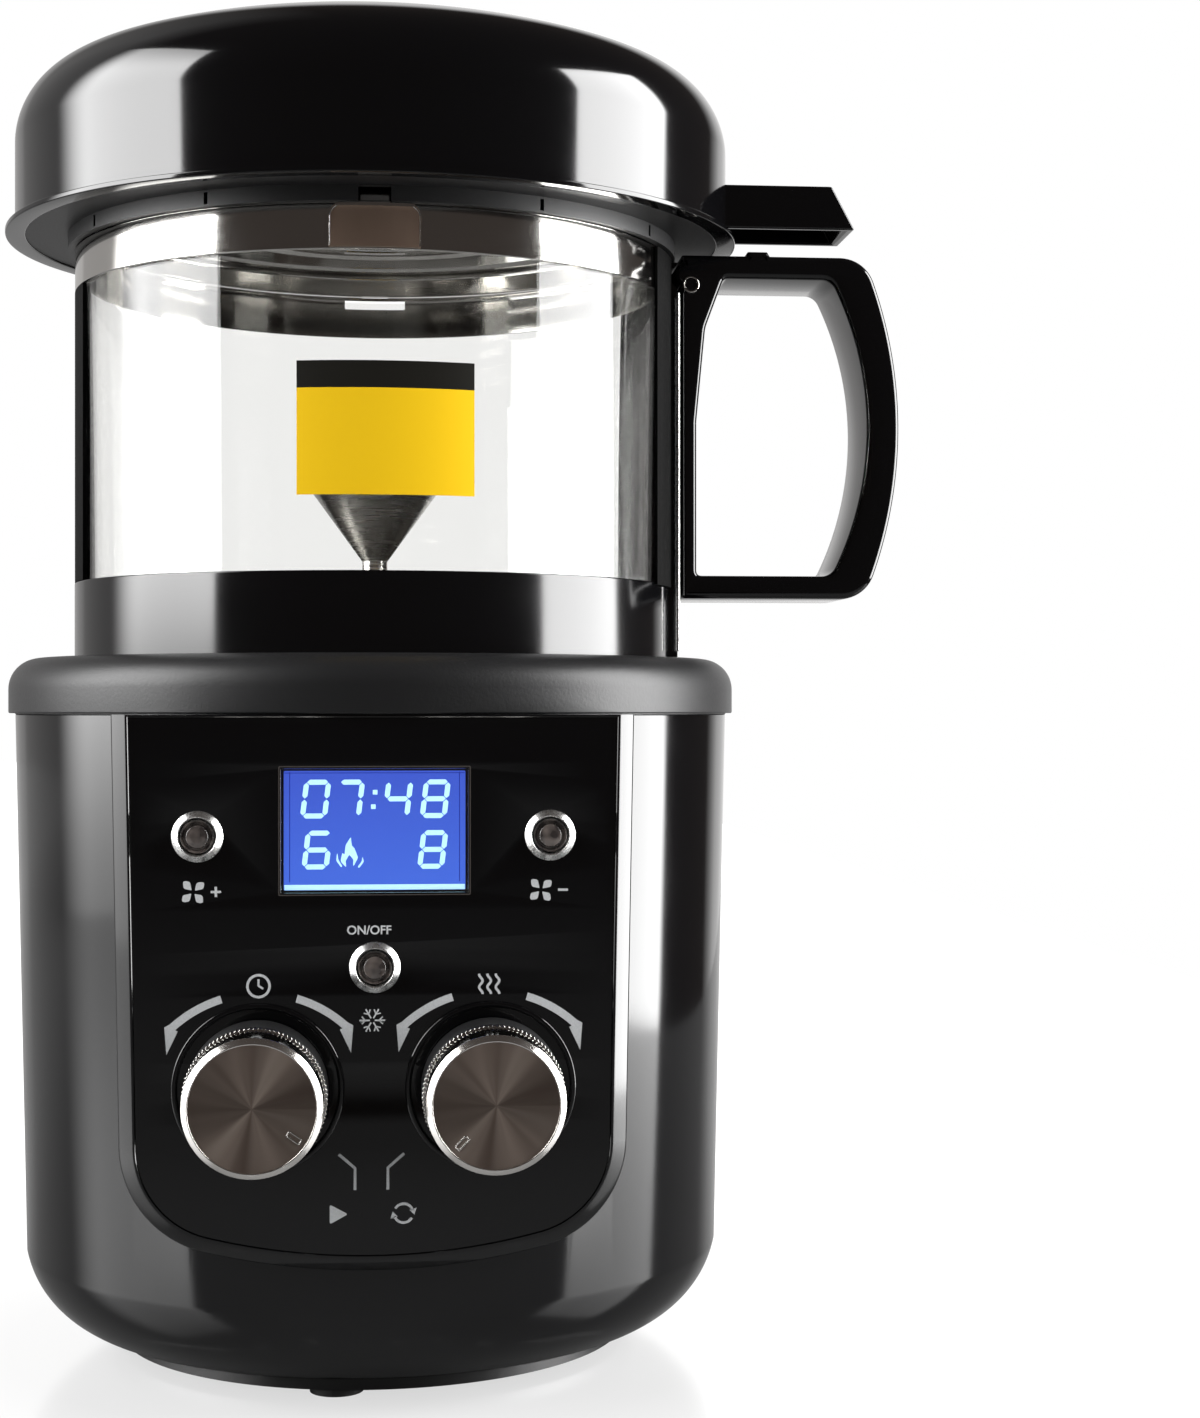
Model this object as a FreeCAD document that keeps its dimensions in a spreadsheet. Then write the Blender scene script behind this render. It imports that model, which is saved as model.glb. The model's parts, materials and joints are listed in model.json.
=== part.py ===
import FreeCAD, Part
import math
import os
from FreeCAD import Placement, Rotation, Vector
import Sketcher

# Home coffee bean roaster, in millimetres.
# Frame: Z is the axis of the round body and points up, the rest plane is Z = 0,
# the control panel faces -Y and the jar's handle points along +X.

SIZES = {
    # stand and bottom of the casing
    "foot_pad_height": 1.6,
    "foot_pad_radius": 5.5,
    "foot_pad_margin": 6.0,
    "foot_pad_turn": -9.0,
    "foot_ring_margin": 2.0,
    "foot_ring_width": 12.5,
    "foot_ring_height": 2.9,
    "floor_thickness": 2.6,
    "vent_inner": 20.0,
    "vent_outer": 36.0,
    "vent_width": 3.2,
    "vent_count": 16,
    # casing
    "casing_taper": 2.5,
    "casing_round_in": 18.5,
    "casing_round_rise": 17.5,
    "casing_round_radius": 22.0,
    "casing_top_radius": 78.5,
    "casing_top": 138.0,
    "casing_wall": 2.4,
    "case_screw_margin": 4.5,
    "case_post_radius": 4.2,
    "case_post_height": 9.0,
    "case_screw_radius": 1.5,
    "case_screw_head_radius": 2.8,
    "case_screw_head_height": 1.3,
    "gland_height": 24.0,
    "gland_radius": 5.5,
    "gland_flange_radius": 8.0,
    "gland_flange": 2.0,
    "gland_bore": 3.3,
    # control panel
    "panel_proud": 0.5,
    "panel_half_width": 47.5,
    "panel_low_half_width": 46.0,
    "panel_straight": 83.0,
    "panel_height": 104.6,
    "panel_sweep": 130.0,
    "panel_bevel": 3.0,
    "panel_depth": 25.0,
    "panel_wall": 2.4,
    "panel_front": 4.0,
    "panel_lip": 0.5,
    "fascia_thickness": 1.4,
    "fascia_gap": 0.1,
    "display_drop": 22.3,
    "display_width": 36.0,
    "display_height": 24.0,
    "display_module_width": 42.0,
    "display_module_height": 30.0,
    "board_gap": 5.5,
    "board_thickness": 1.6,
    "board_half_width": 43.0,
    "board_drop": 8.0,
    "board_height": 76.0,
    "board_post_inset": 4.0,
    "board_post_radius": 2.6,
    "board_screw_radius": 1.2,
    "board_screw_head_radius": 2.3,
    "board_screw_head_height": 1.4,
    # push buttons
    "fan_button_offset": 33.8,
    "fan_button_drop": 23.3,
    "cool_button_drop": 48.6,
    "button_radius": 3.25,
    "button_rise": 1.9,
    "button_travel": 0.6,
    "button_gap": 0.1,
    "bezel_radius": 5.05,
    "bezel_rise": 1.6,
    "bezel_barrel_radius": 4.2,
    "button_flange_radius": 4.0,
    "button_flange": 0.8,
    "button_stem_radius": 1.2,
    "switch_width": 6.2,
    "switch_height": 3.4,
    # rotary knobs that also push
    "knob_offset": 22.3,
    "knob_drop": 71.8,
    "knob_travel": 0.8,
    "knob_ring_radius": 16.5,
    "knob_ring_width": 1.2,
    "knob_ring_rise": 1.0,
    "skirt_radius": 13.5,
    "skirt_length": 11.0,
    "skirt_wall": 1.8,
    "skirt_gap": 1.3,
    "knob_hub_radius": 5.2,
    "cap_rear_radius": 13.6,
    "cap_front_radius": 12.9,
    "cap_length": 11.5,
    "cap_edge": 1.1,
    "encoder_width": 12.4,
    "encoder_bush_radius": 3.8,
    "shaft_radius": 2.95,
    "shaft_fit": 0.05,
    "plunger_thickness": 1.0,
    # air path inside the casing
    "air_post_margin": 6.0,
    "air_post_radius": 2.5,
    "air_post_height": 48.9,
    "blower_radius": 50.0,
    "blower_plate": 2.5,
    "blower_eye_inner": 22.0,
    "blower_eye_outer": 36.0,
    "blower_eye_width": 8.0,
    "blower_eye_count": 8,
    "blower_rise": 27.5,
    "blower_cone": 10.0,
    "blower_collar": 4.0,
    "blower_wall": 1.6,
    "wheel_radius": 42.0,
    "wheel_inner": 24.0,
    "wheel_height": 18.0,
    "wheel_gap": 3.5,
    "wheel_hub_radius": 6.0,
    "wheel_disc": 2.0,
    "blade_thickness": 1.2,
    "blade_count": 12,
    "motor_radius": 18.0,
    "motor_length": 42.0,
    "motor_wall": 1.6,
    "motor_neck": 6.0,
    "bush_length": 4.0,
    "armature_radius": 13.0,
    "armature_length": 22.0,
    "motor_shaft_radius": 1.6,
    "motor_shaft_fit": 0.05,
    "motor_shaft_tail": 3.0,
    "duct_radius": 32.0,
    "duct_wall": 0.8,
    "heater_height": 36.0,
    "heater_plate": 0.8,
    "heater_below_deck": 4.0,
    "coil_radius": 21.0,
    "coil_wire": 0.9,
    "coil_turns": 5,
    "coil_pitch": 6.0,
    "cutout_width": 9.0,
    "cutout_depth": 5.0,
    "cutout_height": 14.0,
    "cutout_below_deck": 14.0,
    "power_board_offset": 32.0,
    "power_board_width": 50.0,
    "power_board_height": 44.0,
    "power_board_thickness": 1.6,
    "relay_width": 19.0,
    "relay_depth": 10.0,
    "relay_height": 15.5,
    # deck, seat and soft ring
    "deck_thickness": 3.2,
    "seat_gasket_inset": 3.0,
    "seat_gasket_width": 8.0,
    "seat_gasket_height": 1.6,
    "seat_gap": 0.2,
    "grip_ring_proud": 1.5,
    "grip_ring_rise": 8.9,
    "grip_ring_round": 6.7,
    "grip_ring_skirt": 1.4,
    "grip_ring_gap": 0.6,
    "grip_ring_hang": 0.2,
    # jar
    "jar_step": 13.5,
    "glass_wall": 2.5,
    "glass_length": 87.4,
    "band_wall": 0.8,
    "band_gap": 0.1,
    "band_height": 23.6,
    "seat_ring_height": 6.6,
    "seat_lip_height": 6.4,
    "seat_lip_gap": 0.3,
    "seat_lip_wall": 1.0,
    "glass_gasket": 1.4,
    "bed_radius": 40.4,
    "bed_thickness": 1.4,
    "bed_ledge": 4.4,
    "bed_slot_inner": 12.0,
    "bed_slot_outer": 33.0,
    "bed_slot_width": 1.8,
    "bed_slot_count": 20,
    "post_radius": 2.0,
    "post_nut_radius": 4.5,
    "post_nut_height": 2.0,
    "post_length": 23.0,
    "post_fit": 0.05,
    "cone_tip_radius": 2.8,
    "cone_radius": 15.3,
    "cone_height": 16.4,
    "cone_cap_height": 6.6,
    "cone_rim": 0.8,
    "cone_wall": 0.8,
    "top_ring_height": 9.0,
    "top_ring_wall": 0.7,
    "top_ring_flange": 2.6,
    "catch_width": 18.2,
    "catch_height": 8.6,
    "catch_wall": 0.5,
    "catch_corner": 2.4,
    # handle
    "spine_width": 18.0,
    "spine_front": 1.4,
    "spine_clearance": 0.3,
    "handle_gap": 0.6,
    "handle_width": 24.0,
    "handle_rise": 1.0,
    "handle_bar": 5.1,
    "handle_drop": 2.9,
    "root_thickness": 3.4,
    "root_flare": 6.1,
    "root_flare_height": 32.0,
    "grip_reach": 51.1,
    "grip_thickness": 7.3,
    "grip_outer_bow": 97.5,
    "grip_inner_bow": 71.7,
    "grip_outer_corner": 8.0,
    "grip_inner_corner": 3.5,
    "handle_rib_offset": 16.4,
    "handle_rib_width": 5.5,
    "handle_rib_rise": 1.0,
    "knuckle_radius": 2.6,
    "knuckle_offset": 1.0,
    "knuckle_drop": 4.3,
    "pin_radius": 1.5,
    "pin_head_radius": 2.1,
    "pin_head": 0.6,
    "pin_offset": 4.6,
    "pin_drop": 6.7,
    "handle_screw_radius": 1.5,
    "handle_screw_head_radius": 2.6,
    "handle_screw_head": 1.3,
    "handle_screw_spread": 14.0,
    # lid
    "lid_gap": 0.3,
    "lid_wall": 2.2,
    "lid_overhang": 13.6,
    "brim_flare": 2.1,
    "brim_rise": 2.8,
    "brim_height": 1.1,
    "lid_straight": 18.6,
    "shoulder_in": 11.0,
    "shoulder_rise": 16.1,
    "shoulder_radius": 17.3,
    "crown_in": 31.8,
    "crown_rise": 21.9,
    "crown_radius": 106.3,
    "dome_rise": 25.95,
    "collar_reach": 2.3,
    "collar_wall": 1.8,
    "collar_height": 4.8,
    "underplate_thickness": 1.6,
    "collar_notch_width": 6.5,
    "collar_notch_height": 3.0,
    "collar_vent_width": 0.9,
    "collar_vent_height": 2.4,
    "collar_vent_rise": 0.4,
    "collar_vent_count": 12,
    "tab_reach": 28.7,
    "tab_width": 20.0,
    "tab_height": 9.7,
    "tab_slope": 5.2,
    "tab_wall": 1.8,
    "tab_rise": 7.2,
    "tab_root": 1.0,
    # chaff cup
    "cup_gap": 0.2,
    "cup_flange_inset": 0.4,
    "cup_inset": 4.0,
    "cup_step": 4.6,
    "cup_wall": 0.7,
    "cup_height": 11.0,
    "chimney_radius": 24.0,
    "chimney_height": 17.0,
    "screen_height": 12.0,
    "screen_hole": 2.4,
    "screen_hole_count": 48,
}

TURNED_TO_BACK = Rotation(Vector(1, 0, 0), -90)

doc = FreeCAD.newDocument("coffee_bean_roaster")
sheet = doc.addObject("Spreadsheet::Sheet", "sizes")
nodes = {}


class Size:
    """A length: its value now, and the sheet expression that stands for it."""

    def __init__(self, value, text):
        self.value = value
        self.text = text

    def __add__(self, other):
        return combine(self, "+", other)

    def __sub__(self, other):
        return combine(self, "-", other)

    def __mul__(self, other):
        return combine(self, "*", other)

    def __truediv__(self, other):
        return combine(self, "/", other)

    def __neg__(self):
        return combine(ZERO, "-", self)


OPERATIONS = {
    "+": lambda a, b: a + b,
    "-": lambda a, b: a - b,
    "*": lambda a, b: a * b,
    "/": lambda a, b: a / b,
}


def as_size(number):
    """A plain number as a Size."""
    return number if isinstance(number, Size) else Size(float(number), repr(float(number)))


def combine(left, sign, right):
    """Two sizes joined by an arithmetic sign."""
    left, right = as_size(left), as_size(right)
    return Size(OPERATIONS[sign](left.value, right.value), f"({left.text} {sign} {right.text})")


def root(square):
    """The square root of a size."""
    return Size(math.sqrt(square.value), f"sqrt({square.text})")


ZERO = Size(0.0, "0")
FOUR = Size(4, "4")
DIAGONAL = math.sqrt(0.5)


class Sheet:
    """Gives every alias of the sheet, and every size that follows from them, as a Size."""

    def __getattr__(self, name):
        if name in FOLLOWERS:
            first, sign, second = FOLLOWERS[name]
            return combine(getattr(self, first), sign, getattr(self, second))
        return Size(float(SIZES[name]), f"sizes.{name}")


# Sizes that follow from two others.
FOLLOWERS = {
    "casing_low_radius": ("casing_top_radius", "-", "casing_taper"),
    "floor_radius": ("casing_low_radius", "-", "casing_round_in"),
    "foot_ring_radius": ("floor_radius", "-", "foot_ring_margin"),
    "foot_ring_hole": ("foot_ring_radius", "-", "foot_ring_width"),
    "foot_pad_circle": ("foot_ring_radius", "-", "foot_pad_margin"),
    "case_screw_circle": ("foot_ring_radius", "-", "case_screw_margin"),
    "panel_reach": ("casing_top_radius", "+", "panel_proud"),
    "grip_ring_radius": ("casing_top_radius", "+", "grip_ring_proud"),
    "air_post_circle": ("blower_radius", "-", "air_post_margin"),
    "glass_radius": ("casing_top_radius", "-", "jar_step"),
    "seat_gasket_outer": ("glass_radius", "-", "seat_gasket_inset"),
    "seat_gasket_inner": ("seat_gasket_outer", "-", "seat_gasket_width"),
    "lid_radius": ("glass_radius", "+", "lid_overhang"),
    "brim_radius": ("lid_radius", "+", "brim_flare"),
    "collar_radius": ("glass_radius", "+", "collar_reach"),
    "cup_radius": ("glass_radius", "-", "cup_inset"),
    "cup_flange_radius": ("glass_radius", "-", "cup_flange_inset"),
}

S = Sheet()


def fill_sheet():
    """Write each driving dimension as text, with its alias beside it."""
    for row, (alias, value) in enumerate(SIZES.items(), start=1):
        sheet.set(f"A{row}", alias)
        sheet.set(f"B{row}", str(value))
        sheet.setAlias(f"B{row}", alias)
    doc.recompute()


# ---------------------------------------------------------------- shared heights and radii

def stack():
    """Heights that several pieces share, from the floor up."""
    h = {}
    h["floor"] = S.foot_pad_height + S.foot_ring_height
    h["floor_top"] = h["floor"] + S.floor_thickness
    h["round_top"] = h["floor"] + S.casing_round_rise
    h["deck"] = S.casing_top
    h["deck_top"] = S.casing_top + S.deck_thickness
    h["ring_top"] = h["deck_top"] + S.grip_ring_rise
    h["jar"] = h["deck_top"] + S.seat_gasket_height + S.seat_gap
    h["band_top"] = h["jar"] + S.band_height
    h["seat_ledge"] = h["jar"] + S.seat_ring_height
    h["glass"] = h["seat_ledge"] + S.glass_gasket
    h["glass_top"] = h["glass"] + S.glass_length
    h["steel_top"] = h["glass_top"] + S.top_ring_wall
    h["steel"] = h["steel_top"] - S.top_ring_height
    h["bed_top"] = h["seat_ledge"] + 0.8
    h["bed"] = h["bed_top"] - S.bed_thickness
    h["handle"] = h["band_top"] - S.handle_drop
    h["handle_top"] = h["steel_top"] + S.handle_rise
    h["lid"] = h["steel_top"] + S.lid_gap
    h["brim"] = h["lid"] + S.brim_rise
    h["brim_top"] = h["brim"] + S.brim_height
    h["lid_straight"] = h["brim_top"] + S.lid_straight
    h["panel_top"] = S.casing_top
    h["panel_bottom"] = S.casing_top - S.panel_height
    h["blower"] = h["floor_top"] + S.air_post_height
    h["blower_top"] = h["blower"] + S.blower_plate
    h["shell_top"] = h["blower_top"] + S.blower_rise
    h["collar"] = h["shell_top"] + S.blower_cone
    h["collar_top"] = h["collar"] + S.blower_collar
    h["wheel"] = h["blower_top"] + S.wheel_gap
    h["motor"] = h["blower"] - S.motor_length
    return h


def radii():
    """Radii that several pieces share."""
    r = {}
    r["glass_in"] = S.glass_radius - S.glass_wall
    r["band_in"] = S.glass_radius + S.band_gap
    r["band"] = r["band_in"] + S.band_wall
    r["steel"] = r["band_in"] + S.top_ring_wall
    r["spine"] = r["band"] + S.spine_front
    r["root"] = r["spine"] + S.handle_gap
    r["ring_in"] = r["band"] + S.grip_ring_gap
    r["duct_in"] = S.duct_radius - S.duct_wall
    r["bore"] = S.shaft_radius + S.shaft_fit
    return r


# ---------------------------------------------------------------- drawing helpers

def new_body(name):
    """An empty PartDesign body that will be one node."""
    body = doc.addObject("PartDesign::Body", name)
    body.Label = name
    return body


def origin_part(body, role):
    """One of the body's own origin planes or axes, by its role."""
    return next(part for part in body.Origin.OriginFeatures if part.Role == role)


def new_sketch(body, role, offset=ZERO):
    """A sketch on an origin plane of the body, moved along the plane's normal."""
    count = sum(1 for item in body.Group if item.TypeId == "Sketcher::SketchObject")
    sketch = body.newObject("Sketcher::SketchObject", f"{body.Name}_sketch{count}")
    sketch.AttachmentSupport = (origin_part(body, role), [""])
    sketch.MapMode = "FlatFace"
    sketch.setExpression(".AttachmentOffset.Base.z", offset.text)
    sketch.AttachmentOffset = Placement(Vector(0, 0, offset.value), Rotation())
    return sketch


def fix(sketch, kind, value, *where):
    """Add a dimension that follows the sheet."""
    index = sketch.addConstraint(Sketcher.Constraint(kind, *where, value.value))
    sketch.renameConstraint(index, f"{kind}_{index}")
    sketch.setExpression(f"Constraints.{kind}_{index}", value.text)


def fix_point(sketch, geometry, end, point):
    """Hold one end of a line or arc at (x, y); a plain zero lies on the axis."""
    for kind, axis, value in (("DistanceX", -2, point[0]), ("DistanceY", -1, point[1])):
        if value is ZERO:
            sketch.addConstraint(Sketcher.Constraint("PointOnObject", geometry, end, axis))
        else:
            fix(sketch, kind, value, -1, 1, geometry, end)


def arc_between(start, end, radius, side):
    """Arc from start to end; side 1 has its centre on the left of the way, -1 on the right."""
    chord = end - start
    reach = math.sqrt(max(radius * radius - chord.Length ** 2 / 4, 0.0))
    left = Vector(-chord.y, chord.x, 0).normalize()
    centre = (start + end) * 0.5 + left * (side * reach)
    first, last = (start, end) if side > 0 else (end, start)
    angles = [math.atan2(p.y - centre.y, p.x - centre.x) for p in (first, last)]
    return Part.ArcOfCircle(Part.Circle(centre, Vector(0, 0, 1), radius), *angles)


def draw(sketch, points, arcs=None):
    """A closed outline through the points; arcs maps a side's number to (radius, side)."""
    arcs = arcs or {}
    points = [(as_size(x) if x != 0 else ZERO, as_size(y) if y != 0 else ZERO) for x, y in points]
    corners = [Vector(x.value, y.value, 0) for x, y in points]
    ends = []
    for i, corner in enumerate(corners):
        following = corners[(i + 1) % len(corners)]
        if i in arcs:
            radius, side = as_size(arcs[i][0]), arcs[i][1]
            index = sketch.addGeometry(arc_between(corner, following, radius.value, side), False)
            fix(sketch, "Radius", radius, index)
            ends.append((index, 1, 2) if side > 0 else (index, 2, 1))
        else:
            index = sketch.addGeometry(Part.LineSegment(corner, following), False)
            ends.append((index, 1, 2))
    for i, (index, start, end) in enumerate(ends):
        after = ends[(i + 1) % len(ends)]
        sketch.addConstraint(Sketcher.Constraint("Coincident", index, end, after[0], after[1]))
        fix_point(sketch, index, start, points[i])


def draw_circle(sketch, x, y, radius):
    """A circle held by its centre and radius."""
    x, y = (as_size(v) if v != 0 else ZERO for v in (x, y))
    index = sketch.addGeometry(
        Part.Circle(Vector(x.value, y.value, 0), Vector(0, 0, 1), radius.value), False)
    fix(sketch, "Radius", radius, index)
    fix_point(sketch, index, 3, (x, y))


def draw_box(sketch, left, right, low, high):
    """A rectangle from its four sides."""
    draw(sketch, [(left, low), (right, low), (right, high), (left, high)])


def draw_shield(sketch, inset, top):
    """The panel's outline: straight sides that draw in, round lower corners, a swept bottom."""
    half = S.panel_half_width - inset
    low_half = S.panel_low_half_width - inset
    low = S.casing_top - S.panel_straight
    bottom = S.casing_top - S.panel_height + inset
    sweep = S.panel_sweep - inset
    side = Vector(low_half.value - half.value, low.value - top.value, 0).normalize()
    inward = Vector(side.y, -side.x, 0)
    start = Vector(low_half.value, low.value, 0)
    hub = Vector(0, bottom.value + sweep.value, 0)
    away = start - hub
    corner = (sweep.value ** 2 - away.Length ** 2) / (2 * (away.dot(inward) + sweep.value))
    centre = start + inward * corner
    touch = hub + (centre - hub).normalize() * sweep.value
    mirrored = [Vector(-p.x, p.y, 0) for p in (start, centre, touch)]
    upper = Vector(half.value, top.value, 0)
    circle = lambda middle, size: Part.Circle(middle, Vector(0, 0, 1), size)
    angle = lambda middle, point: math.atan2(point.y - middle.y, point.x - middle.x)
    shapes = [
        Part.LineSegment(Vector(-upper.x, upper.y, 0), upper),
        Part.LineSegment(upper, start),
        Part.ArcOfCircle(circle(centre, corner), angle(centre, touch), angle(centre, start)),
        Part.ArcOfCircle(circle(hub, sweep.value), angle(hub, mirrored[2]), angle(hub, touch)),
        Part.ArcOfCircle(circle(mirrored[1], corner), angle(mirrored[1], mirrored[0]),
                         angle(mirrored[1], mirrored[2])),
        Part.LineSegment(mirrored[0], Vector(-upper.x, upper.y, 0)),
    ]
    top_line, right, right_arc, sweep_arc, left_arc, left = [
        sketch.addGeometry(shape, False) for shape in shapes]
    link = lambda kind, *where: sketch.addConstraint(Sketcher.Constraint(kind, *where))
    link("Coincident", top_line, 2, right, 1)
    link("Tangent", right, 2, right_arc, 2)
    link("Tangent", right_arc, 1, sweep_arc, 2)
    link("Tangent", sweep_arc, 1, left_arc, 2)
    link("Tangent", left_arc, 1, left, 1)
    link("Coincident", left, 2, top_line, 1)
    fix_point(sketch, right, 1, (half, top))
    fix_point(sketch, left, 2, (-half, top))
    fix_point(sketch, right, 2, (low_half, low))
    fix_point(sketch, left, 1, (-low_half, low))
    fix_point(sketch, sweep_arc, 3, (ZERO, bottom + sweep))
    fix(sketch, "Radius", sweep, sweep_arc)


def solid_of(feature):
    """The feature's shape after a recompute."""
    doc.recompute()
    return feature.Shape


def pad(body, sketch, length, backwards=False):
    """Extrude a sketch; backwards runs against the plane's normal."""
    feature = body.newObject("PartDesign::Pad", f"{sketch.Name}_pad")
    feature.Profile = sketch
    feature.setExpression("Length", as_size(length).text)
    feature.Reversed = backwards
    body.Tip = feature
    return feature


def pocket(body, sketch, length, forwards=False):
    """Cut a sketch away against the plane's normal, or along it when forwards."""
    before = solid_of(body).Volume
    feature = body.newObject("PartDesign::Pocket", f"{sketch.Name}_pocket")
    feature.Profile = sketch
    feature.setExpression("Length", as_size(length).text)
    feature.Reversed = forwards
    body.Tip = feature
    if solid_of(body).Volume >= before:
        raise RuntimeError(f"{feature.Name} cuts nothing")
    return feature


def around(body, features, count):
    """Repeat features evenly about the body's own Z axis."""
    pattern = body.newObject("PartDesign::PolarPattern", f"{features[0].Name}_around")
    pattern.Originals = features
    pattern.Axis = (origin_part(body, "Z_Axis"), [""])
    pattern.Angle = 360
    pattern.setExpression("Occurrences", count.text)
    body.Tip = pattern
    return pattern


def turn(body, sketch):
    """Revolve a sketch about its vertical axis."""
    feature = body.newObject("PartDesign::Revolution", f"{sketch.Name}_turned")
    feature.Profile = sketch
    feature.ReferenceAxis = (sketch, ["V_Axis"])
    feature.Angle = 360
    body.Tip = feature
    return feature


def edges_along_y(feature, places):
    """Names of the feature's edges that run along Y through the given (x, z) places."""
    shape = solid_of(feature)
    names = []
    for x, z in places:
        best = None
        for number, edge in enumerate(shape.Edges, start=1):
            first, last = edge.Vertexes[0].Point, edge.Vertexes[-1].Point
            if abs(first.y - last.y) < 1e-6 or (first - last).cross(Vector(0, 1, 0)).Length > 1e-6:
                continue
            distance = math.hypot(first.x - x.value, first.z - z.value)
            if best is None or distance < best[0]:
                best = (distance, f"Edge{number}")
        names.append(best[1])
    return names


def fillet(body, feature, places, radius):
    """Round the edges along Y at the given places."""
    names = edges_along_y(feature, places)
    rounded = body.newObject("PartDesign::Fillet", f"{feature.Name}_round")
    rounded.Base = (feature, names)
    rounded.setExpression("Radius", as_size(radius).text)
    body.Tip = rounded
    return rounded


def keep(name, thing):
    """Register an object of the document as a node."""
    thing.Label = name
    nodes[name] = thing
    return thing


def turned(name, points, arcs=None):
    """A node revolved about Z from its (radius, height) outline."""
    body = new_body(name)
    sketch = new_sketch(body, "XZ_Plane")
    draw(sketch, points, arcs)
    turn(body, sketch)
    return keep(name, body)


def place(thing, x=ZERO, y=ZERO, z=ZERO, rotation=Rotation()):
    """Put an object at a place that follows the sheet."""
    thing.Placement = Placement(Vector(x.value, y.value, z.value), rotation)
    for axis, value in (("x", x), ("y", y), ("z", z)):
        thing.setExpression(f"Placement.Base.{axis}", value.text)
    return thing


def cylinder(name, radius, height, x=ZERO, y=ZERO, z=ZERO, rotation=Rotation()):
    """A Part cylinder bound to the sheet."""
    thing = doc.addObject("Part::Cylinder", name)
    thing.setExpression("Radius", as_size(radius).text)
    thing.setExpression("Height", as_size(height).text)
    return place(thing, x, y, z, rotation)


def block(name, length, width, height, x=ZERO, y=ZERO, z=ZERO):
    """A Part box bound to the sheet, from its lowest corner."""
    thing = doc.addObject("Part::Box", name)
    thing.setExpression("Length", as_size(length).text)
    thing.setExpression("Width", as_size(width).text)
    thing.setExpression("Height", as_size(height).text)
    return place(thing, x, y, z)


def cut(name, base, *tools):
    """The base without its tools."""
    for number, tool in enumerate(tools):
        result = doc.addObject("Part::Cut", f"{name}_cut{number}")
        result.Base = base
        result.Tool = tool
        base = result
    return base


def join(name, *pieces):
    """Pieces fused into one solid."""
    result = doc.addObject("Part::MultiFuse", f"{name}_joined")
    result.Shapes = list(pieces)
    return result


def copies(name, source, places):
    """A group of the same solid at several placements, as one node."""
    shape = solid_of(source)
    group = doc.addObject("Part::Feature", name)
    group.Shape = Part.makeCompound([shape.transformed(p.toMatrix(), True) for p in places])
    return keep(name, group)


def spots_around(circle, count, first_angle):
    """Placements on a circle about Z, each turned to face outwards."""
    step = 360.0 / count
    turns = [Rotation(Vector(0, 0, 1), first_angle + step * i) for i in range(count)]
    return [Placement(rotation.multVec(Vector(circle, 0, 0)), rotation) for rotation in turns]


# ---------------------------------------------------------------- stand and casing

def make_feet(h):
    """A flat ring under the floor and four soft pads under the ring."""
    turned("foot_ring", [
        (S.foot_ring_hole, S.foot_pad_height), (S.foot_ring_radius, S.foot_pad_height),
        (S.foot_ring_radius, h["floor"]), (S.foot_ring_hole, h["floor"])])
    pad_source = cylinder("foot_pad", S.foot_pad_radius, S.foot_pad_height)
    copies("rubber_feet", pad_source,
           spots_around(S.foot_pad_circle.value, 4, S.foot_pad_turn.value))


def make_casing(h):
    """The tapered sleeve, with its panel window, cord hole and screw posts."""
    body = new_body("casing")
    sketch = new_sketch(body, "XZ_Plane")
    wall = S.casing_wall
    draw(sketch, [
        (S.floor_radius, h["floor"]),
        (S.casing_low_radius, h["round_top"]),
        (S.casing_top_radius, S.casing_top),
        (S.casing_top_radius - wall, S.casing_top),
        (S.casing_low_radius - wall, h["round_top"]),
        (S.floor_radius, h["floor_top"])],
        {0: (S.casing_round_radius, 1), 4: (S.casing_round_radius - wall, -1)})
    turn(body, sketch)
    window = new_sketch(body, "XZ_Plane", S.panel_reach + 1)
    draw_shield(window, -S.panel_bevel, S.casing_top)
    pocket(body, window, S.panel_reach)
    hole = new_sketch(body, "XZ_Plane", -S.casing_top_radius)
    draw_circle(hole, 0, S.gland_height, S.gland_radius)
    pocket(body, hole, S.casing_top_radius / 2, forwards=True)
    seat = new_sketch(body, "XZ_Plane", -S.casing_top_radius)
    draw_circle(seat, 0, S.gland_height, S.gland_flange_radius + 0.1)
    pocket(body, seat, S.casing_top_radius - gland_seat(), forwards=True)
    x = S.case_screw_circle * DIAGONAL
    post = new_sketch(body, "XY_Plane", h["floor_top"])
    draw_circle(post, x, x, S.case_post_radius)
    post_pad = pad(body, post, S.case_post_height)
    rib = new_sketch(body, "XY_Plane", h["floor_top"])
    far = (S.floor_radius + S.case_post_radius) * DIAGONAL
    side = S.case_post_radius / 2 * DIAGONAL
    draw(rib, [(x + side, x - side), (far + side, far - side), (far - side, far + side),
               (x - side, x + side)])
    rib_pad = pad(body, rib, S.case_post_height / 2)
    around(body, [post_pad, rib_pad], FOUR)
    bore = new_sketch(body, "XY_Plane", h["floor_top"])
    draw_circle(bore, x, x, S.case_screw_radius)
    bored = pocket(body, bore, S.case_post_height - 1, forwards=True)
    around(body, [bored], FOUR)
    keep("casing", body)


def gland_seat():
    """Y of the flat that the cord bush's flange sits on."""
    return S.casing_low_radius - 1


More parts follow.
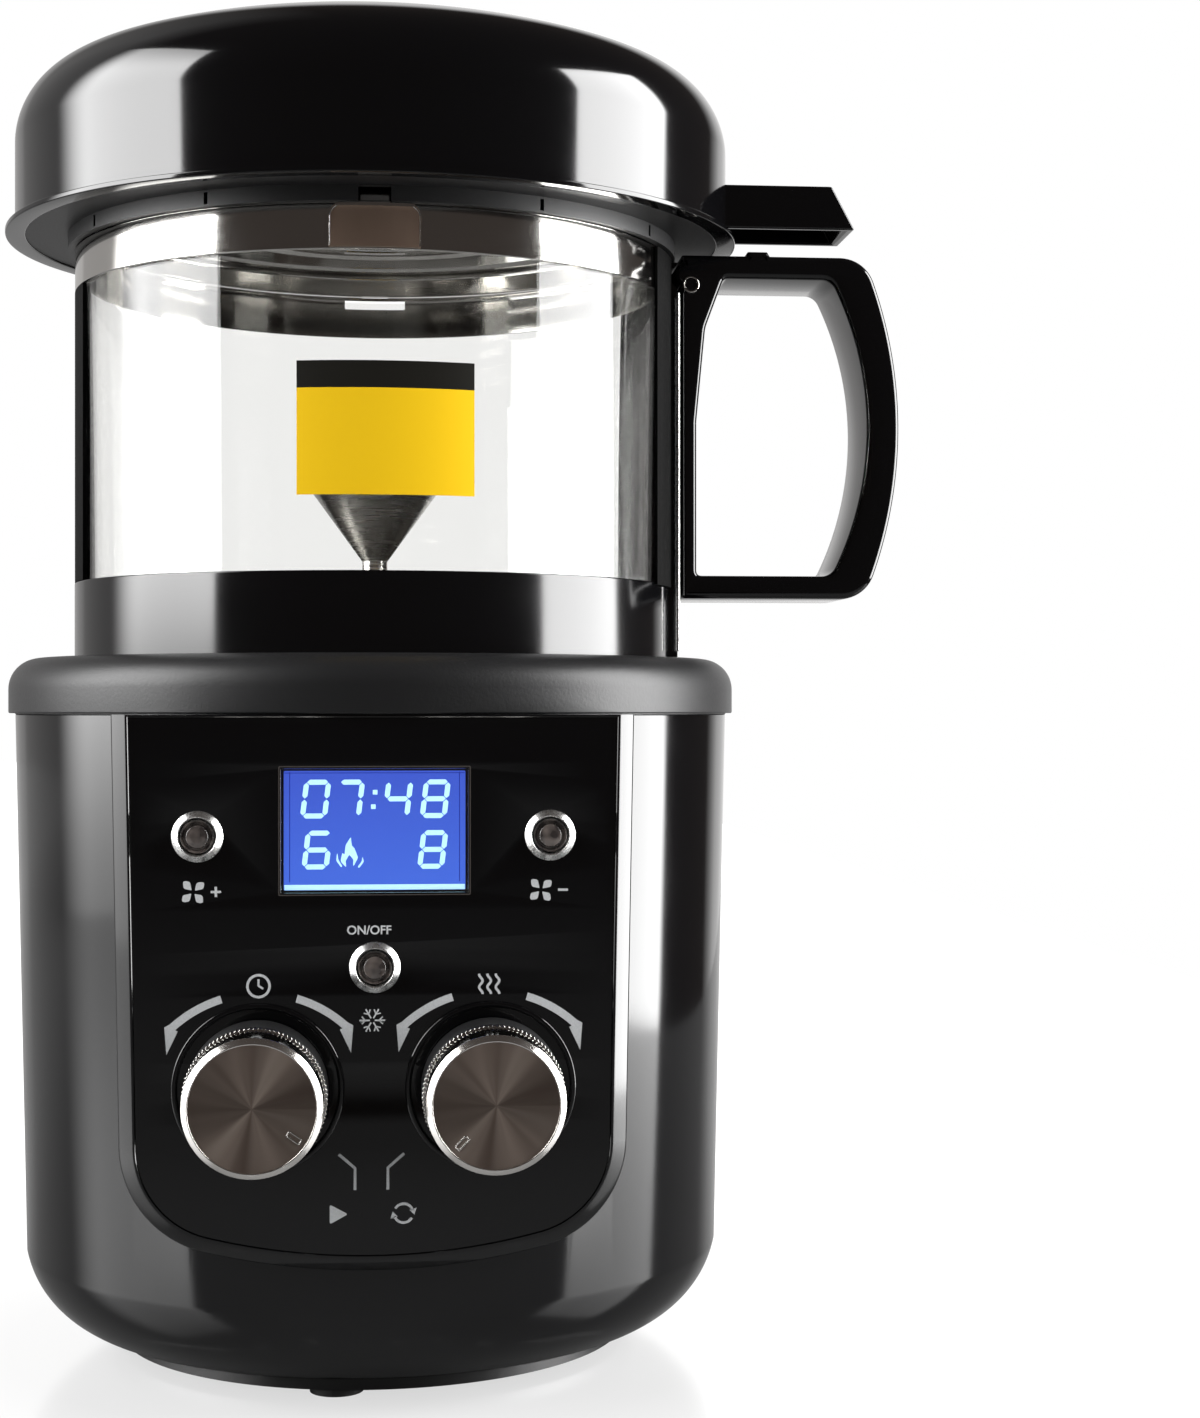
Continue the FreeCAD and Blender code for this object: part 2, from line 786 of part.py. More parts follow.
def make_floor(h):
    """Vented base plate with the posts that carry the blower."""
    body = new_body("base_plate")
    disc = new_sketch(body, "XY_Plane", h["floor"])
    draw_circle(disc, 0, 0, S.floor_radius)
    pad(body, disc, S.floor_thickness)
    slot = new_sketch(body, "XY_Plane", h["floor_top"])
    half = S.vent_width / 2
    draw_box(slot, S.vent_inner, S.vent_outer, -half, half)
    around(body, [pocket(body, slot, S.floor_thickness)], S.vent_count)
    hole = new_sketch(body, "XY_Plane", h["floor_top"])
    x = S.case_screw_circle * DIAGONAL
    draw_circle(hole, x, x, S.case_screw_radius)
    around(body, [pocket(body, hole, S.floor_thickness)], FOUR)
    post = new_sketch(body, "XY_Plane", h["floor_top"])
    draw_circle(post, S.air_post_circle, 0, S.air_post_radius)
    around(body, [pad(body, post, S.air_post_height)], FOUR)
    keep("base_plate", body)


def make_case_screws(h):
    """Four screws from below, through the foot ring and the floor into the posts."""
    shank = S.foot_ring_height + S.floor_thickness + S.case_post_height - 2
    head = cylinder("case_screw_head", S.case_screw_head_radius, S.case_screw_head_height)
    stem = cylinder("case_screw_stem", S.case_screw_radius, shank)
    screw = join("case_screw", head, stem)
    spots = spots_around(S.case_screw_circle.value, 4, 45.0)
    lift = Placement(Vector(0, 0, S.foot_pad_height.value + 0.1), Rotation())
    copies("case_screws", screw, [lift * spot for spot in spots])


def make_foot_ring_holes():
    """Counterbored holes in the foot ring for the case screws."""
    body = nodes["foot_ring"]
    x = S.case_screw_circle * DIAGONAL
    sink = new_sketch(body, "XY_Plane", S.foot_pad_height)
    draw_circle(sink, x, x, S.case_screw_head_radius + 0.1)
    sunk = pocket(body, sink, S.case_screw_head_height + 0.1, forwards=True)
    around(body, [sunk], FOUR)
    hole = new_sketch(body, "XY_Plane", S.foot_pad_height)
    draw_circle(hole, x, x, S.case_screw_radius)
    bored = pocket(body, hole, S.foot_ring_height, forwards=True)
    around(body, [bored], FOUR)


def make_gland(h):
    """Flanged bush at the back, where a supply cord would enter."""
    inside = S.casing_wall * 2.5
    back = gland_seat()
    flange = cylinder("gland_flange", S.gland_flange_radius, S.gland_flange,
                      ZERO, back, S.gland_height, TURNED_TO_BACK)
    barrel = cylinder("gland_barrel", S.gland_radius, inside,
                      ZERO, back - inside, S.gland_height, TURNED_TO_BACK)
    bore = cylinder("gland_bore", S.gland_bore, inside + S.gland_flange * 2,
                    ZERO, back - inside - 1, S.gland_height, TURNED_TO_BACK)
    keep("cord_gland", cut("cord_gland", join("cord_gland", flange, barrel), bore))


# ---------------------------------------------------------------- control panel

def front_places(h):
    """Centres of the buttons and knobs on the panel, as (name, x, z)."""
    buttons = [
        ("fan_up", -S.fan_button_offset, S.casing_top - S.fan_button_drop),
        ("fan_down", S.fan_button_offset, S.casing_top - S.fan_button_drop),
        ("cool", ZERO, S.casing_top - S.cool_button_drop)]
    knobs = [
        ("time", -S.knob_offset, S.casing_top - S.knob_drop),
        ("heat", S.knob_offset, S.casing_top - S.knob_drop)]
    return buttons, knobs


def make_panel_frame(h):
    """The proud frame round the panel: bevelled rim, seat for the fascia, hollow behind."""
    body = new_body("panel_frame")
    outline = new_sketch(body, "XZ_Plane", S.panel_reach)
    draw_shield(outline, -S.panel_bevel, S.casing_top)
    raised = pad(body, outline, S.panel_depth, backwards=True)
    shape = solid_of(raised)
    front = [f"Edge{n}" for n, edge in enumerate(shape.Edges, start=1)
             if all(abs(v.Point.y + S.panel_reach.value) < 1e-4 for v in edge.Vertexes)
             and not all(abs(v.Point.z - S.casing_top.value) < 1e-4 for v in edge.Vertexes)]
    bevel = body.newObject("PartDesign::Chamfer", "panel_bevel_cut")
    bevel.Base = (raised, front)
    bevel.setExpression("Size", S.panel_bevel.text)
    body.Tip = bevel
    inner = new_sketch(body, "XZ_Plane", S.panel_reach - S.panel_depth)
    draw_shield(inner, S.panel_wall - S.panel_bevel, S.casing_top - S.panel_wall)
    pocket(body, inner, S.panel_depth - S.panel_front, forwards=True)
    seat = new_sketch(body, "XZ_Plane", S.panel_reach)
    draw_shield(seat, S.panel_lip, S.casing_top - S.panel_lip)
    pocket(body, seat, S.fascia_thickness + S.fascia_gap)
    holes = new_sketch(body, "XZ_Plane", S.panel_reach)
    half = S.display_width / 2
    middle = S.casing_top - S.display_drop
    draw_box(holes, -half, half, middle - S.display_height / 2, middle + S.display_height / 2)
    buttons, knobs = front_places(h)
    for name, x, z in buttons:
        draw_circle(holes, x, z, S.bezel_barrel_radius)
    for name, x, z in knobs:
        draw_circle(holes, x, z, S.encoder_bush_radius)
    pocket(body, holes, S.panel_front)
    posts = new_sketch(body, "XZ_Plane", S.panel_reach - S.panel_front)
    for x, z in board_posts():
        draw_circle(posts, x, z, S.board_post_radius)
    pad(body, posts, S.board_gap, backwards=True)
    bores = new_sketch(body, "XZ_Plane", S.panel_reach - S.panel_front - S.board_gap)
    for x, z in board_posts():
        draw_circle(bores, x, z, S.board_screw_radius)
    pocket(body, bores, S.board_gap, forwards=True)
    keep("panel_frame", body)


def board_posts():
    """Places of the four board posts, as (x, z)."""
    x = S.board_half_width - S.board_post_inset
    high = S.casing_top - S.board_drop - S.board_post_inset
    low = S.casing_top - S.board_drop - S.board_height + S.board_post_inset
    return [(x, high), (-x, high), (x, low), (-x, low)]


def make_fascia(h):
    """Gloss plate in the frame, with its openings and a raised rim round each knob."""
    body = new_body("control_fascia")
    front = S.panel_reach - S.fascia_gap
    plate = new_sketch(body, "XZ_Plane", front)
    draw_shield(plate, S.panel_lip + S.fascia_gap, S.casing_top - S.panel_lip - S.fascia_gap)
    pad(body, plate, S.fascia_thickness, backwards=True)
    holes = new_sketch(body, "XZ_Plane", front)
    half = S.display_width / 2
    middle = S.casing_top - S.display_drop
    draw_box(holes, -half, half, middle - S.display_height / 2, middle + S.display_height / 2)
    buttons, knobs = front_places(h)
    for name, x, z in buttons:
        draw_circle(holes, x, z, S.bezel_barrel_radius)
    for name, x, z in knobs:
        draw_circle(holes, x, z, S.encoder_bush_radius)
    pocket(body, holes, S.fascia_thickness)
    rims = new_sketch(body, "XZ_Plane", front)
    for name, x, z in knobs:
        draw_circle(rims, x, z, S.knob_ring_radius)
        draw_circle(rims, x, z, S.knob_ring_radius - S.knob_ring_width)
    pad(body, rims, S.knob_ring_rise)
    keep("control_fascia", body)


def make_display(h):
    """Clear lens in the fascia, and the display module behind it."""
    back = S.panel_reach - S.fascia_gap - S.fascia_thickness
    middle = S.casing_top - S.display_drop
    lens = block("display_lens", S.display_width, S.fascia_thickness, S.display_height,
                 -(S.display_width / 2), -(S.panel_reach - S.fascia_gap),
                 middle - S.display_height / 2)
    keep("display_lens", lens)
    wall_back = S.panel_reach - S.panel_front
    body_block = block("display_module_body", S.display_module_width, S.board_gap,
                       S.display_module_height, -(S.display_module_width / 2), -wall_back,
                       middle - S.display_module_height / 2)
    face = block("display_module_face", S.display_width, S.panel_front - S.fascia_thickness
                 - S.fascia_gap, S.display_height, -(S.display_width / 2), -back,
                 middle - S.display_height / 2)
    keep("display_module", join("display_module", body_block, face))


def make_board(h):
    """Control board on its posts, with its screws and the three push switches."""
    front = S.panel_reach - S.panel_front - S.board_gap
    top = S.casing_top - S.board_drop
    body = new_body("control_board")
    plate = new_sketch(body, "XZ_Plane", front)
    draw_box(plate, -S.board_half_width, S.board_half_width, top - S.board_height, top)
    pad(body, plate, S.board_thickness, backwards=True)
    holes = new_sketch(body, "XZ_Plane", front)
    for x, z in board_posts():
        draw_circle(holes, x, z, S.board_screw_radius)
    pocket(body, holes, S.board_thickness)
    keep("control_board", body)
    head = cylinder("board_screw_head", S.board_screw_head_radius, S.board_screw_head_height,
                    rotation=TURNED_TO_BACK)
    stem = cylinder("board_screw_stem", S.board_screw_radius,
                    S.board_thickness + S.board_gap - 1,
                    y=-(S.board_thickness + S.board_gap - 1), rotation=TURNED_TO_BACK)
    back = front - S.board_thickness
    spots = [Placement(Vector(x.value, -back.value, z.value), Rotation()) for x, z in board_posts()]
    copies("board_screws", join("board_screw", head, stem), spots)
    switch = block("switch_block", S.switch_width, S.switch_height, S.switch_width,
                   -(S.switch_width / 2), -S.switch_height, -(S.switch_width / 2))
    well = cylinder("switch_well", S.button_stem_radius + 0.3, S.button_travel * 2 + S.button_gap,
                    y=-S.switch_height, rotation=TURNED_TO_BACK)
    buttons, knobs = front_places(h)
    spots = [Placement(Vector(x.value, -front.value, z.value), Rotation()) for name, x, z in buttons]
    copies("push_switches", cut("push_switch", switch, well), spots)


def make_buttons(h):
    """Bright bezels, and the three caps that push through them."""
    body = new_body("bezel_source")
    sketch = new_sketch(body, "XZ_Plane")
    bore = S.button_radius + S.button_gap
    depth = S.panel_front - S.fascia_gap
    draw(sketch, [
        (bore, -S.bezel_rise), (S.bezel_radius, -S.bezel_rise), (S.bezel_radius, 0),
        (S.bezel_barrel_radius, 0), (S.bezel_barrel_radius, depth), (bore, depth)])
    turn(body, sketch)
    buttons, knobs = front_places(h)
    front = S.panel_reach - S.fascia_gap
    copies("button_bezels", body, [
        Placement(Vector(x.value, -front.value, z.value), TURNED_TO_BACK)
        for name, x, z in buttons])
    rest = depth + S.button_gap
    stem_end = S.panel_front + S.board_gap - S.fascia_gap - S.switch_height + S.button_gap
    for name, x, z in buttons:
        cap = turned(f"{name}_button", [
            (0, -S.button_rise), (S.button_radius, -S.button_rise),
            (S.button_radius, rest), (S.button_flange_radius, rest),
            (S.button_flange_radius, rest + S.button_flange),
            (S.button_stem_radius, rest + S.button_flange),
            (S.button_stem_radius, stem_end), (0, stem_end)])
        place(cap, x, -front, z, TURNED_TO_BACK)


def make_knobs(h):
    """Each rotary knob: encoder, push plunger, shaft, black skirt and bright cap."""
    front = S.panel_reach - S.fascia_gap
    bore = S.shaft_radius + S.shaft_fit
    wall_back = S.panel_front - S.fascia_gap
    board = wall_back + S.board_gap
    plunger_back = board - S.knob_travel - S.button_gap
    skirt_front = S.skirt_gap + S.skirt_length
    buttons, knobs = front_places(h)
    for name, x, z in knobs:
        half = S.encoder_width / 2
        case = block(f"{name}_encoder_case", S.encoder_width, S.board_gap, S.encoder_width,
                     x - half, -(S.panel_reach - S.panel_front), z - half)
        bush = cylinder(f"{name}_encoder_bush", S.encoder_bush_radius, wall_back,
                        x, -front, z, TURNED_TO_BACK)
        hole = cylinder(f"{name}_encoder_bore", bore, board * 2, x, -(front + board), z,
                        TURNED_TO_BACK)
        keep(f"{name}_encoder", cut(f"{name}_encoder", join(f"{name}_encoder", case, bush), hole))
        plunger = turned(f"{name}_plunger", [
            (0, plunger_back - S.plunger_thickness),
            (S.shaft_radius, plunger_back - S.plunger_thickness),
            (S.shaft_radius, plunger_back), (0, plunger_back)])
        shaft = turned(f"{name}_shaft", [
            (0, -(skirt_front - S.skirt_wall)), (S.shaft_radius, -(skirt_front - S.skirt_wall)),
            (S.shaft_radius, plunger_back - S.plunger_thickness),
            (0, plunger_back - S.plunger_thickness)])
        inner = S.skirt_radius - S.skirt_wall
        floor = skirt_front - S.skirt_wall
        skirt = turned(f"{name}_knob", [
            (0, -skirt_front), (S.skirt_radius, -skirt_front), (S.skirt_radius, -S.skirt_gap),
            (inner, -S.skirt_gap), (inner, -floor), (S.knob_hub_radius, -floor),
            (S.knob_hub_radius, -S.skirt_gap), (S.shaft_radius, -S.skirt_gap),
            (S.shaft_radius, -floor), (0, -floor)])
        end = skirt_front + S.cap_length
        cap = turned(f"{name}_knob_cap", [
            (0, -end), (S.cap_front_radius - S.cap_edge, -end),
            (S.cap_front_radius, -(end - S.cap_edge)), (S.cap_rear_radius, -skirt_front),
            (0, -skirt_front)])
        for piece in (plunger, shaft, skirt, cap):
            place(piece, x, -front, z, TURNED_TO_BACK)


# ---------------------------------------------------------------- blower, heater, power

def make_blower(h):
    """Intake plate, shell, wheel and motor of the fan."""
    body = new_body("blower_plate")
    disc = new_sketch(body, "XY_Plane", h["blower"])
    draw_circle(disc, 0, 0, S.blower_radius)
    draw_circle(disc, 0, 0, S.motor_neck + 2)
    pad(body, disc, S.blower_plate)
    eye = new_sketch(body, "XY_Plane", h["blower_top"])
    half = S.blower_eye_width / 2
    draw_box(eye, S.blower_eye_inner, S.blower_eye_outer, -half, half)
    around(body, [pocket(body, eye, S.blower_plate)], S.blower_eye_count)
    keep("blower_plate", body)
    wall = S.blower_wall
    turned("blower_shell", [
        (S.blower_radius, h["blower_top"]), (S.blower_radius, h["shell_top"]),
        (S.duct_radius + wall, h["collar"]), (S.duct_radius + wall, h["collar_top"]),
        (S.duct_radius, h["collar_top"]), (S.duct_radius, h["collar"] - wall / 2),
        (S.blower_radius - wall, h["shell_top"] - wall / 2),
        (S.blower_radius - wall, h["blower_top"])])
    top = h["wheel"] + S.wheel_height
    wheel = new_body("blower_wheel")
    section = new_sketch(wheel, "XZ_Plane")
    draw(section, [
        (S.motor_shaft_radius, h["wheel"]), (S.wheel_hub_radius, h["wheel"]),
        (S.wheel_hub_radius, top - S.wheel_disc), (S.wheel_radius, top - S.wheel_disc),
        (S.wheel_radius, top), (S.motor_shaft_radius, top)])
    turn(wheel, section)
    blade = new_sketch(wheel, "XY_Plane", h["wheel"])
    half = S.blade_thickness / 2
    draw_box(blade, S.wheel_inner, S.wheel_radius, -half, half)
    around(wheel, [pad(wheel, blade, S.wheel_height - S.wheel_disc / 2)], S.blade_count)
    keep("blower_wheel", wheel)


def make_motor(h):
    """Motor can with its two bushes, and the armature on the shaft."""
    low, high, wall = h["motor"], h["blower"], S.motor_wall
    neck = S.motor_neck
    turned("motor_can", [
        (neck, low), (S.motor_radius, low), (S.motor_radius, high), (neck, high),
        (neck, high - wall), (S.motor_radius - wall, high - wall),
        (S.motor_radius - wall, low + wall), (neck, low + wall)])
    bore = S.motor_shaft_radius + S.motor_shaft_fit
    ring = cut("motor_bush", cylinder("motor_bush_body", neck, S.bush_length),
               cylinder("motor_bush_bore", bore, S.bush_length))
    spots = [Placement(Vector(0, 0, z.value), Rotation()) for z in (low, high - S.bush_length)]
    copies("motor_bushes", ring, spots)
    middle = (low + high) / 2
    half = S.armature_length / 2
    turned("motor_armature", [
        (S.motor_shaft_radius, middle - half), (S.armature_radius, middle - half),
        (S.armature_radius, middle + half), (S.motor_shaft_radius, middle + half)])
    top = h["wheel"] + S.wheel_height
    shaft = cylinder("motor_shaft", S.motor_shaft_radius, top - low + S.motor_shaft_tail,
                     z=low - S.motor_shaft_tail)
    keep("motor_shaft", shaft)


def make_duct(h):
    """Steel duct from the blower up to the deck, with a flange under the deck."""
    low = h["collar_top"] - S.blower_collar
    turned("hot_air_duct", [
        (S.duct_radius - S.duct_wall, low), (S.duct_radius, low),
        (S.duct_radius, h["deck"] - S.duct_wall), (S.duct_radius + 6, h["deck"] - S.duct_wall),
        (S.duct_radius + 6, h["deck"]), (S.duct_radius - S.duct_wall, h["deck"])])


def make_heater(h):
    """Crossed mica plates in the duct that carry the turns of the heating coil."""
    low = h["deck"] - S.heater_below_deck - S.heater_height
    half = S.heater_plate / 2
    bore = S.duct_radius - S.duct_wall
    reach = root(bore * bore - half * half)
    along_x = block("mica_along_x", reach * 2, S.heater_plate, S.heater_height, -reach, -half, low)
    along_y = block("mica_along_y", S.heater_plate, reach * 2, S.heater_height, -half, -reach, low)
    turns = []
    for number in range(int(S.coil_turns.value)):
        z = low + S.coil_pitch * (number + 1)
        ring = doc.addObject("Part::Torus", f"coil_turn{number}")
        ring.setExpression("Radius1", S.coil_radius.text)
        ring.setExpression("Radius2", S.coil_wire.text)
        turns.append(place(ring, ZERO, ZERO, z))
    coil = doc.addObject("Part::Compound", "heater_coil")
    coil.Links = turns
    keep("heater_coil", coil)
    keep("heater_frame", cut("heater_frame", join("heater_frame", along_x, along_y), coil))
    top = h["deck"] - S.cutout_below_deck
    cutout = block("thermal_cutout", S.cutout_width, S.cutout_depth, S.cutout_height,
                   -(S.cutout_width / 2), S.duct_radius, top - S.cutout_height)
    keep("thermal_cutout", cutout)


def make_power_board(h):
    """Upright supply board behind the motor, standing on the floor plate, with its relay."""
    half = S.power_board_width / 2
    board = block("power_board_sheet", S.power_board_width, S.power_board_thickness,
                  S.power_board_height, -half, S.power_board_offset, h["floor_top"])
    relay = block("power_board_relay", S.relay_width, S.relay_depth, S.relay_height,
                  -half + 2, S.power_board_offset - S.relay_depth,
                  h["floor_top"] + S.power_board_height / 2)
    keep("power_board", join("power_board", board, relay))


# ---------------------------------------------------------------- deck and soft ring

def make_deck(h, r):
    """Deck on the casing, its seal for the jar and the soft ring round it."""
    rim = S.grip_ring_radius - S.grip_ring_skirt
    turned("top_deck", [
        (S.duct_radius, h["deck"]), (rim, h["deck"]), (rim, h["deck_top"]),
        (S.duct_radius, h["deck_top"])])
    turned("seat_gasket", [
        (S.seat_gasket_inner, h["deck_top"]), (S.seat_gasket_outer, h["deck_top"]),
        (S.seat_gasket_outer, h["deck_top"] + S.seat_gasket_height),
        (S.seat_gasket_inner, h["deck_top"] + S.seat_gasket_height)])
    top, low = h["ring_top"], h["deck"] + S.grip_ring_hang
    outer, soft = S.grip_ring_radius, S.grip_ring_round
    turned("grip_ring", [
        (r["ring_in"], h["deck_top"]), (r["ring_in"], top - 1), (r["ring_in"] + 1, top),
        (outer - soft, top), (outer, top - soft), (outer, low), (rim, low),
        (rim, h["deck_top"])], {1: (1, -1), 3: (soft, -1)})


# ---------------------------------------------------------------- jar

def make_jar_base(h, r):
    """Seat ring of the jar, its black band, the glass seal and the perforated bed."""
    lip = r["glass_in"] - S.seat_lip_gap
    turned("jar_seat", [
        (S.bed_radius - S.bed_ledge, h["jar"]), (r["band_in"], h["jar"]),
        (r["band_in"], h["seat_ledge"]), (lip, h["seat_ledge"]),
        (lip, h["seat_ledge"] + S.seat_lip_height),
        (lip - S.seat_lip_wall, h["seat_ledge"] + S.seat_lip_height),
        (S.bed_radius, h["bed_top"]), (S.bed_radius, h["bed"]),
        (S.bed_radius - S.bed_ledge, h["bed"])])
    turned("jar_band", [
        (r["band_in"], h["jar"]), (r["band"], h["jar"]), (r["band"], h["band_top"]),
        (r["band_in"], h["band_top"])])
    turned("glass_gasket", [
        (r["glass_in"], h["seat_ledge"]), (S.glass_radius, h["seat_ledge"]),
        (S.glass_radius, h["glass"]), (r["glass_in"], h["glass"])])
    body = new_body("bed_plate")
    disc = new_sketch(body, "XY_Plane", h["bed"])
    draw_circle(disc, 0, 0, S.bed_radius)
    draw_circle(disc, 0, 0, S.post_radius + S.post_fit)
    pad(body, disc, S.bed_thickness)
    slot = new_sketch(body, "XY_Plane", h["bed_top"])
    half = S.bed_slot_width / 2
    draw_box(slot, S.bed_slot_inner, S.bed_slot_outer, -half, half)
    around(body, [pocket(body, slot, S.bed_thickness)], S.bed_slot_count)
    keep("bed_plate", body)


def make_deflector(h):
    """Post through the bed and the inverted cone that it carries."""
    nut, radius = S.post_nut_radius, S.post_radius
    low, high = h["bed"], h["bed_top"]
    tip = high + S.post_length
    top = tip + S.cone_height
    turned("deflector_post", [
        (0, low - S.post_nut_height), (nut, low - S.post_nut_height), (nut, low),
        (radius, low), (radius, high), (nut, high), (nut, high + S.post_nut_height),
        (radius, high + S.post_nut_height), (radius, tip - S.post_nut_height),
        (S.cone_tip_radius, tip - S.post_nut_height), (S.cone_tip_radius, tip),
        (radius, tip), (radius, top), (0, top)])
    wall, rim = S.cone_wall, S.cone_rim
    turned("deflector_cone", [
        (radius, tip), (S.cone_tip_radius, tip), (S.cone_radius, top),
        (S.cone_radius, top + rim), (0, top + rim + S.cone_cap_height),
        (0, top + rim + S.cone_cap_height - wall), (S.cone_radius - wall * 1.5, top + wall / 2),
        (radius + wall / 4, tip + wall * 1.5), (radius, tip + wall)])


def make_glass(h, r):
    """Glass tube and the bright steel ring that closes it at the top."""
    turned("glass_tube", [
        (r["glass_in"], h["glass"]), (S.glass_radius, h["glass"]),
        (S.glass_radius, h["glass_top"]), (r["glass_in"], h["glass_top"])])
    inner = r["steel"] - S.top_ring_flange
    turned("top_ring", [
        (r["band_in"], h["steel"]), (r["steel"], h["steel"]), (r["steel"], h["steel_top"]),
        (inner, h["steel_top"]), (inner, h["glass_top"]), (r["band_in"], h["glass_top"])])
    make_catches(h, r)


def make_catches(h, r):
    """Two curved plates on the steel ring, front and back, with round upper corners."""
    body = new_body("catch_outline")
    sketch = new_sketch(body, "XZ_Plane")
    half, corner = S.catch_width / 2, S.catch_corner
    high = h["steel_top"]
    low = high - S.catch_height
    draw(sketch, [
        (-half, low), (half, low), (half, high - corner), (half - corner, high),
        (-half + corner, high), (-half, high - corner)],
        {2: (corner, 1), 4: (corner, 1)})
    through = pad(body, sketch, S.glass_radius * 3)
    through.Midplane = True
    shell = cut("catch_shell", cylinder("catch_outer", r["steel"] + S.catch_wall, S.casing_top * 2),
                cylinder("catch_inner", r["steel"], S.casing_top * 2))
    plates = doc.addObject("Part::Common", "catch_plates")
    plates.Base = body
    plates.Tool = shell
    keep("catch_plates", plates)


# ---------------------------------------------------------------- handle

def make_spine(h, r):
    """Upright strip that hugs the band and the steel ring behind the handle."""
    low = h["ring_top"] + S.spine_clearance * 2
    high = h["steel_top"] - S.spine_clearance
    strip = block("spine_strip", r["spine"] - r["band"] + 4, S.spine_width, high - low,
                  r["band"] - 4, -(S.spine_width / 2), low)
    jar = cylinder("spine_hollow", r["band"], S.casing_top * 2)
    relief = cylinder("spine_relief", S.knuckle_radius + S.handle_gap, S.handle_width * 2,
                      r["root"] + S.knuckle_offset, -S.handle_width,
                      h["steel_top"] - S.knuckle_drop + S.handle_rise, TURNED_TO_BACK)
    tools = [jar, relief]
    for number, z in enumerate(screw_heights(h)):
        tools.append(cylinder(f"spine_hole{number}", S.handle_screw_radius, S.spine_front * 8,
                              r["band"] - S.spine_front * 2, ZERO, z,
                              Rotation(Vector(0, 1, 0), 90)))
    keep("handle_spine", cut("handle_spine", strip, *tools))


def screw_heights(h):
    """Heights of the two handle screws, in the thin part of the root."""
    middle = h["handle_top"] - S.handle_bar - S.root_flare_height - S.handle_screw_spread
    return [middle - S.handle_screw_spread + 3, middle + S.handle_screw_spread - 3]


def bow(reach, radius, middle, z):
    """X of a grip's arc at height z: the arc's furthest point is at reach."""
    return reach - radius + root(radius * radius - (z - middle) * (z - middle))


def make_handle(h, r):
    """The loop handle: thin upright root, two bars and a bowed grip, cut from one plate."""
    low, high = h["handle"], h["handle_top"]
    middle = (low + high) / 2
    inner_low, inner_high = low + S.handle_bar, high - S.handle_bar
    outer = r["band"] + S.grip_reach
    inside = outer - S.grip_thickness
    back = r["root"] + S.root_thickness
    flare = back + S.root_flare
    corners = [(bow(outer, S.grip_outer_bow, middle, z), z) for z in (low, high)]
    window = [(bow(inside, S.grip_inner_bow, middle, z), z) for z in (inner_low, inner_high)]
    body = new_body("handle")
    half = S.handle_width / 2
    outline = new_sketch(body, "XZ_Plane", half)
    draw(outline, [(r["root"], low), corners[0], corners[1], (r["root"], high)],
         {1: (S.grip_outer_bow, 1)})
    draw(outline, [
        (back, inner_low), window[0], window[1], (flare, inner_high),
        (back + S.root_flare / 3, inner_high - S.root_flare * 1.8),
        (back, inner_high - S.root_flare_height)], {1: (S.grip_inner_bow, 1)})
    plate = pad(body, outline, S.handle_width, backwards=True)
    rounded = fillet(body, plate, corners, S.grip_outer_corner)
    rounded = fillet(body, rounded, window, S.grip_inner_corner)
    knuckle = new_sketch(body, "XZ_Plane", half)
    draw_circle(knuckle, r["root"] + S.knuckle_offset, high - S.knuckle_drop, S.knuckle_radius)
    pad(body, knuckle, S.handle_width, backwards=True)
    rib = new_sketch(body, "XZ_Plane", half)
    start = r["band"] + S.handle_rib_offset
    slant = S.handle_rib_rise * 0.6
    draw(rib, [
        (start, high), (start + S.handle_rib_width, high),
        (start + S.handle_rib_width - slant, high + S.handle_rib_rise),
        (start + slant, high + S.handle_rib_rise)])
    pad(body, rib, S.handle_width, backwards=True)
    hole = new_sketch(body, "XZ_Plane", half)
    draw_circle(hole, r["root"] + S.pin_offset - S.knuckle_radius, high - S.pin_drop, S.pin_radius)
    pocket(body, hole, S.handle_width)
    screws = new_sketch(body, "YZ_Plane", back + S.root_flare)
    for z in screw_heights(h):
        draw_circle(screws, 0, z, S.handle_screw_radius)
    pocket(body, screws, S.root_thickness + S.root_flare + 1)
    sinks = new_sketch(body, "YZ_Plane", back)
    for z in screw_heights(h):
        draw_circle(sinks, 0, z, S.handle_screw_head_radius + 0.1)
    pocket(body, sinks, S.handle_screw_head + 0.2)
    keep("handle", body)


def make_handle_fasteners(h, r):
    """Cross pin through the handle's root and the two screws into the spine."""
    half = S.handle_width / 2
    x = r["root"] + S.pin_offset - S.knuckle_radius
    z = h["handle_top"] - S.pin_drop
    stem = cylinder("pin_stem", S.pin_radius, S.handle_width, x, -half, z, TURNED_TO_BACK)
    near = cylinder("pin_near_head", S.pin_head_radius, S.pin_head, x, -half - S.pin_head, z,
                    TURNED_TO_BACK)
    far = cylinder("pin_far_head", S.pin_head_radius, S.pin_head, x, half, z, TURNED_TO_BACK)
    keep("handle_pin", join("handle_pin", stem, near, far))
    back = r["root"] + S.root_thickness - S.handle_screw_head - 0.2
    along_x = Rotation(Vector(0, 1, 0), 90)
    shank = back - r["band"] - 0.1
    stem = cylinder("handle_screw_stem", S.handle_screw_radius, shank, x=-shank, rotation=along_x)
    head = cylinder("handle_screw_head", S.handle_screw_head_radius, S.handle_screw_head,
                    rotation=along_x)
    spots = [Placement(Vector(back.value, 0, z.value), Rotation()) for z in screw_heights(h)]
    copies("handle_screws", join("handle_screw", stem, head), spots)


# ---------------------------------------------------------------- lid and chaff cup

